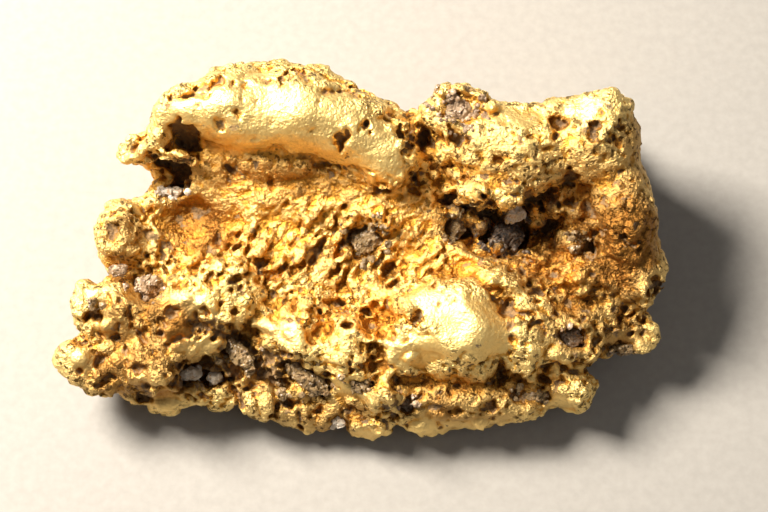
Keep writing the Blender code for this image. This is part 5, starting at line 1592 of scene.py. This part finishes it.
        soft = add_node(tree, "MapRange", {"Value": worn, "To Min": 1.0, "To Max": 0.45}).outputs[0]
        facet = add_node(tree, "TexVoronoi", {"Vector": self.strayed(tree, place), "Scale": 1 / (self.facet_mm * MM)})
        normal = None
        sunk = add_node(tree, "Math", {0: 1.0, 1: cracks}, operation="SUBTRACT").outputs[0]
        for height, deep in (
            (ripple, 0.5), (facet.outputs["Distance"], 0.3), (grain, 0.4), (dust, 0.14), (sunk, 0.45),
        ):
            inputs = {"Height": height, "Strength": soft, "Distance": deep * MM}
            if normal:
                inputs["Normal"] = normal
            normal = add_node(tree, "Bump", inputs).outputs["Normal"]
        tree.links.new(normal, shader.inputs["Normal"])
        return material

    def strayed(self, tree: bpy.types.NodeTree, place: bpy.types.NodeSocket) -> bpy.types.NodeSocket:
        """Object coordinates, bent so that a pattern of cells loses its straight edges."""
        strays = add_node(tree, "TexNoise", {"Vector": place, "Scale": 1 / (1.3 * MM), "Detail": 3.0}).outputs["Color"]
        return add_node(
            tree, "VectorMath", {0: strays, 1: (1.4 * MM,) * 3, 2: place}, operation="MULTIPLY_ADD"
        ).outputs[0]

    def cracks(
        self, tree: bpy.types.NodeTree, place: bpy.types.NodeSocket, whole: bpy.types.NodeSocket
    ) -> bpy.types.NodeSocket:
        """Fine wandering cracks between the crystals, fewer where the gold is rolled smooth.

        Args:
            tree: The material's node tree.
            place: Object coordinates.
            whole: How closed the surface is.

        Returns:
            A number from 0 on the gold to 1 in a crack.
        """
        strayed = self.strayed(tree, place)
        patch = add_node(tree, "TexNoise", {"Vector": place, "Scale": 1 / (4.5 * MM), "Detail": 2.0}).outputs["Fac"]
        uneven = add_node(tree, "TexNoise", {"Vector": place, "Scale": 1 / (1.2 * MM), "Detail": 3.0}).outputs["Fac"]
        both = None
        for size in self.crack_mm:
            edge = add_node(
                tree, "TexVoronoi", {"Vector": strayed, "Scale": 1 / (size * MM)}, feature="DISTANCE_TO_EDGE"
            ).outputs["Distance"]
            shifted = add_node(tree, "Math", {0: uneven, 1: 1.5, 2: edge}, operation="MULTIPLY_ADD").outputs[0]
            line = add_node(tree, "MapRange", {"Value": shifted, "From Min": 0.74, "From Max": 0.66}).outputs[0]
            both = line if both is None else add_node(
                tree, "Math", {0: line, 1: both}, operation="MAXIMUM"
            ).outputs[0]
        open_here = add_node(tree, "MapRange", {"Value": patch, "From Min": 0.38, "From Max": 0.5}).outputs[0]
        kept = add_node(tree, "MapRange", {"Value": whole, "To Min": 1.0, "To Max": 0.12}).outputs[0]
        open_here = add_node(tree, "Math", {0: open_here, 1: kept}, operation="MULTIPLY").outputs[0]
        return add_node(tree, "Math", {0: both, 1: open_here}, operation="MULTIPLY").outputs[0]


@dataclass(frozen=True)
class Quartz:
    """Vein quartz, broken and water-polished, so that light sinks in and glows at its edges."""

    name: str
    pale: str
    deep: str
    stain: str
    stained: float = 0.4
    clear: float = 0.1
    roughness: float = 0.34

    def material(self) -> bpy.types.Material:
        """Builds the node tree."""
        material, tree, shader = new_material(self.name)
        place = add_node(tree, "TexCoord").outputs["Object"]
        cloud = add_node(tree, "TexNoise", {"Vector": place, "Scale": 1 / (1.8 * MM), "Detail": 5.0}).outputs["Fac"]
        iron = add_node(tree, "TexNoise", {"Vector": place, "Scale": 1 / (0.9 * MM), "Detail": 6.0}).outputs["Fac"]
        body = colour_band(tree, cloud, ((0.35, self.deep), (0.62, self.pale)))
        seep = add_node(
            tree, "MapRange",
            {"Value": iron, "From Min": 0.62 - 0.25 * self.stained, "From Max": 0.8 - 0.2 * self.stained},
        ).outputs[0]
        rust = add_node(tree, "RGB").outputs[0]
        rust.default_value = linear(self.stain)
        colour = add_node(tree, "Mix", {0: seep, 6: body, 7: rust}, data_type="RGBA").outputs[2]
        tree.links.new(colour, shader.inputs["Base Color"])
        shader.inputs["Roughness"].default_value = self.roughness
        shader.inputs["IOR"].default_value = 1.55
        shader.inputs["Transmission Weight"].default_value = self.clear
        shader.inputs["Subsurface Weight"].default_value = 0.25
        shader.inputs["Subsurface Radius"].default_value = (1.0, 0.8, 0.6)
        shader.inputs["Subsurface Scale"].default_value = MM
        bump = add_node(tree, "Bump", {"Height": iron, "Strength": 0.4, "Distance": 0.1 * MM})
        tree.links.new(bump.outputs["Normal"], shader.inputs["Normal"])
        return material


@dataclass(frozen=True)
class Ironstone:
    """Dark limonite and magnetite rock: dull, with rusty and steel-grey grains."""

    dark: str = "#2A2420"
    rust: str = "#54402E"
    grey: str = "#736C62"

    def material(self) -> bpy.types.Material:
        """Builds the node tree."""
        material, tree, shader = new_material("ironstone, broken")
        place = add_node(tree, "TexCoord").outputs["Object"]
        grain = add_node(tree, "TexNoise", {"Vector": place, "Scale": 1 / (0.8 * MM), "Detail": 6.0}).outputs["Fac"]
        colour = colour_band(tree, grain, ((0.4, self.dark), (0.55, self.rust), (0.68, self.grey)))
        tree.links.new(colour, shader.inputs["Base Color"])
        shader.inputs["Roughness"].default_value = 0.62
        bump = add_node(tree, "Bump", {"Height": grain, "Strength": 0.6, "Distance": 0.15 * MM})
        tree.links.new(bump.outputs["Normal"], shader.inputs["Normal"])
        return material


QUARTZ = {
    "milky_quartz": Quartz("milky vein quartz, waterworn", "#E8DCCB", "#B9AA94", "#A9804F", 0.35),
    "smoky_quartz": Quartz("smoky vein quartz, broken", "#A88E68", "#65502F", "#543C20", 0.5),
    "stained_quartz": Quartz("iron-stained vein quartz, broken", "#BFA88C", "#806850", "#5E4226", 0.6),
}


# --------------------------------------------------------------------------- the studio


@dataclass
class Studio:
    """A pale floor, soft lights and the camera over the nugget's broad face."""

    floor_size: float = 3.0
    lens_mm: float = 103.7
    sensor_mm: float = 36.0

    def floor(self) -> bpy.types.Object:
        """A plain pale floor with a faint paper grain."""
        bm = bmesh.new()
        bmesh.ops.create_grid(bm, x_segments=2, y_segments=2, size=self.floor_size / 2)
        floor = object_from("studio_floor", bm)
        material, tree, shader = new_material("pale card, matt")
        place = add_node(tree, "TexCoord").outputs["Object"]
        fibre = add_node(tree, "TexNoise", {"Vector": place, "Scale": 1 / (2 * MM), "Detail": 3.0}).outputs["Fac"]
        tree.links.new(colour_band(tree, fibre, ((0.3, "#94918D"), (0.7, "#9B9894"))), shader.inputs["Base Color"])
        shader.inputs["Roughness"].default_value = 0.85
        floor.data.materials.append(material)
        return floor

    def light(self, name: str, place: Vector, size: float, power: float, colour: str) -> None:
        """Hangs one square soft light that faces the nugget.

        Args:
            name: What to call it.
            place: Where it hangs, in metres.
            size: Its side in metres.
            power: Its strength in watts.
            colour: Its hex colour.
        """
        lamp = bpy.data.lights.new(name, "AREA")
        lamp.shape = "SQUARE"
        lamp.size = size
        lamp.energy = power
        lamp.color = linear(colour)[:3]
        obj = bpy.data.objects.new(name, lamp)
        bpy.context.scene.collection.objects.link(obj)
        obj.location = place
        obj.rotation_euler = (Vector((0, 0, 0.02)) - place).to_track_quat("-Z", "Y").to_euler()

    def lights(self) -> None:
        """A key from the upper left, a faint fill and a grey room."""
        self.light("key", Vector((-0.36, 0.19, 0.49)), 0.22, 14.8, "#FFF6E8")
        self.light("fill", Vector((0.55, -0.25, 0.6)), 0.7, 0.8, "#F2F5FF")
        world = bpy.data.worlds.new("studio room")
        world.use_nodes = True
        background = world.node_tree.nodes["Background"]
        background.inputs["Color"].default_value = linear("#D3CBBD")
        background.inputs["Strength"].default_value = 0.25
        bpy.context.scene.world = world

    def camera(self) -> None:
        """Looks square on to the nugget's broad face, which its lie turns towards the front."""
        data = bpy.data.cameras.new("camera")
        data.lens = self.lens_mm
        data.sensor_width = self.sensor_mm
        data.clip_start = 0.01
        camera = bpy.data.objects.new("camera", data)
        bpy.context.scene.collection.objects.link(camera)
        camera.location = LIE.to_frame() @ Vector((*LIE.sight_middle, LIE.sight_distance))
        camera.rotation_euler = (math.radians(LIE.tip_deg), 0, 0)
        bpy.context.scene.camera = camera

    def build(self) -> None:
        """Sets the whole stage."""
        self.floor()
        self.lights()
        self.camera()
        bpy.context.scene.view_settings.view_transform = "Standard"


# --------------------------------------------------------------------------- the whole


def main() -> None:
    """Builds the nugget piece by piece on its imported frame."""
    logging.basicConfig(level=logging.INFO, format="%(asctime)s %(name)s: %(message)s")
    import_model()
    Studio().build()
    nugget = GoldNugget()
    gold = nugget.build()
    LOG.info("%s: %d triangles", gold.name, len(gold.data.polygons))
    draw = np.random.default_rng(SEED)
    finishes = {slot: quartz.material() for slot, quartz in QUARTZ.items()}
    finishes["ironstone"] = Ironstone().material()
    for stone in STONES:
        piece = stone.build(finishes[stone.slot], nugget.ground, draw)
        LOG.info("%s: %d triangles", piece.name, len(piece.data.polygons))


if __name__ == "__main__":
    main()
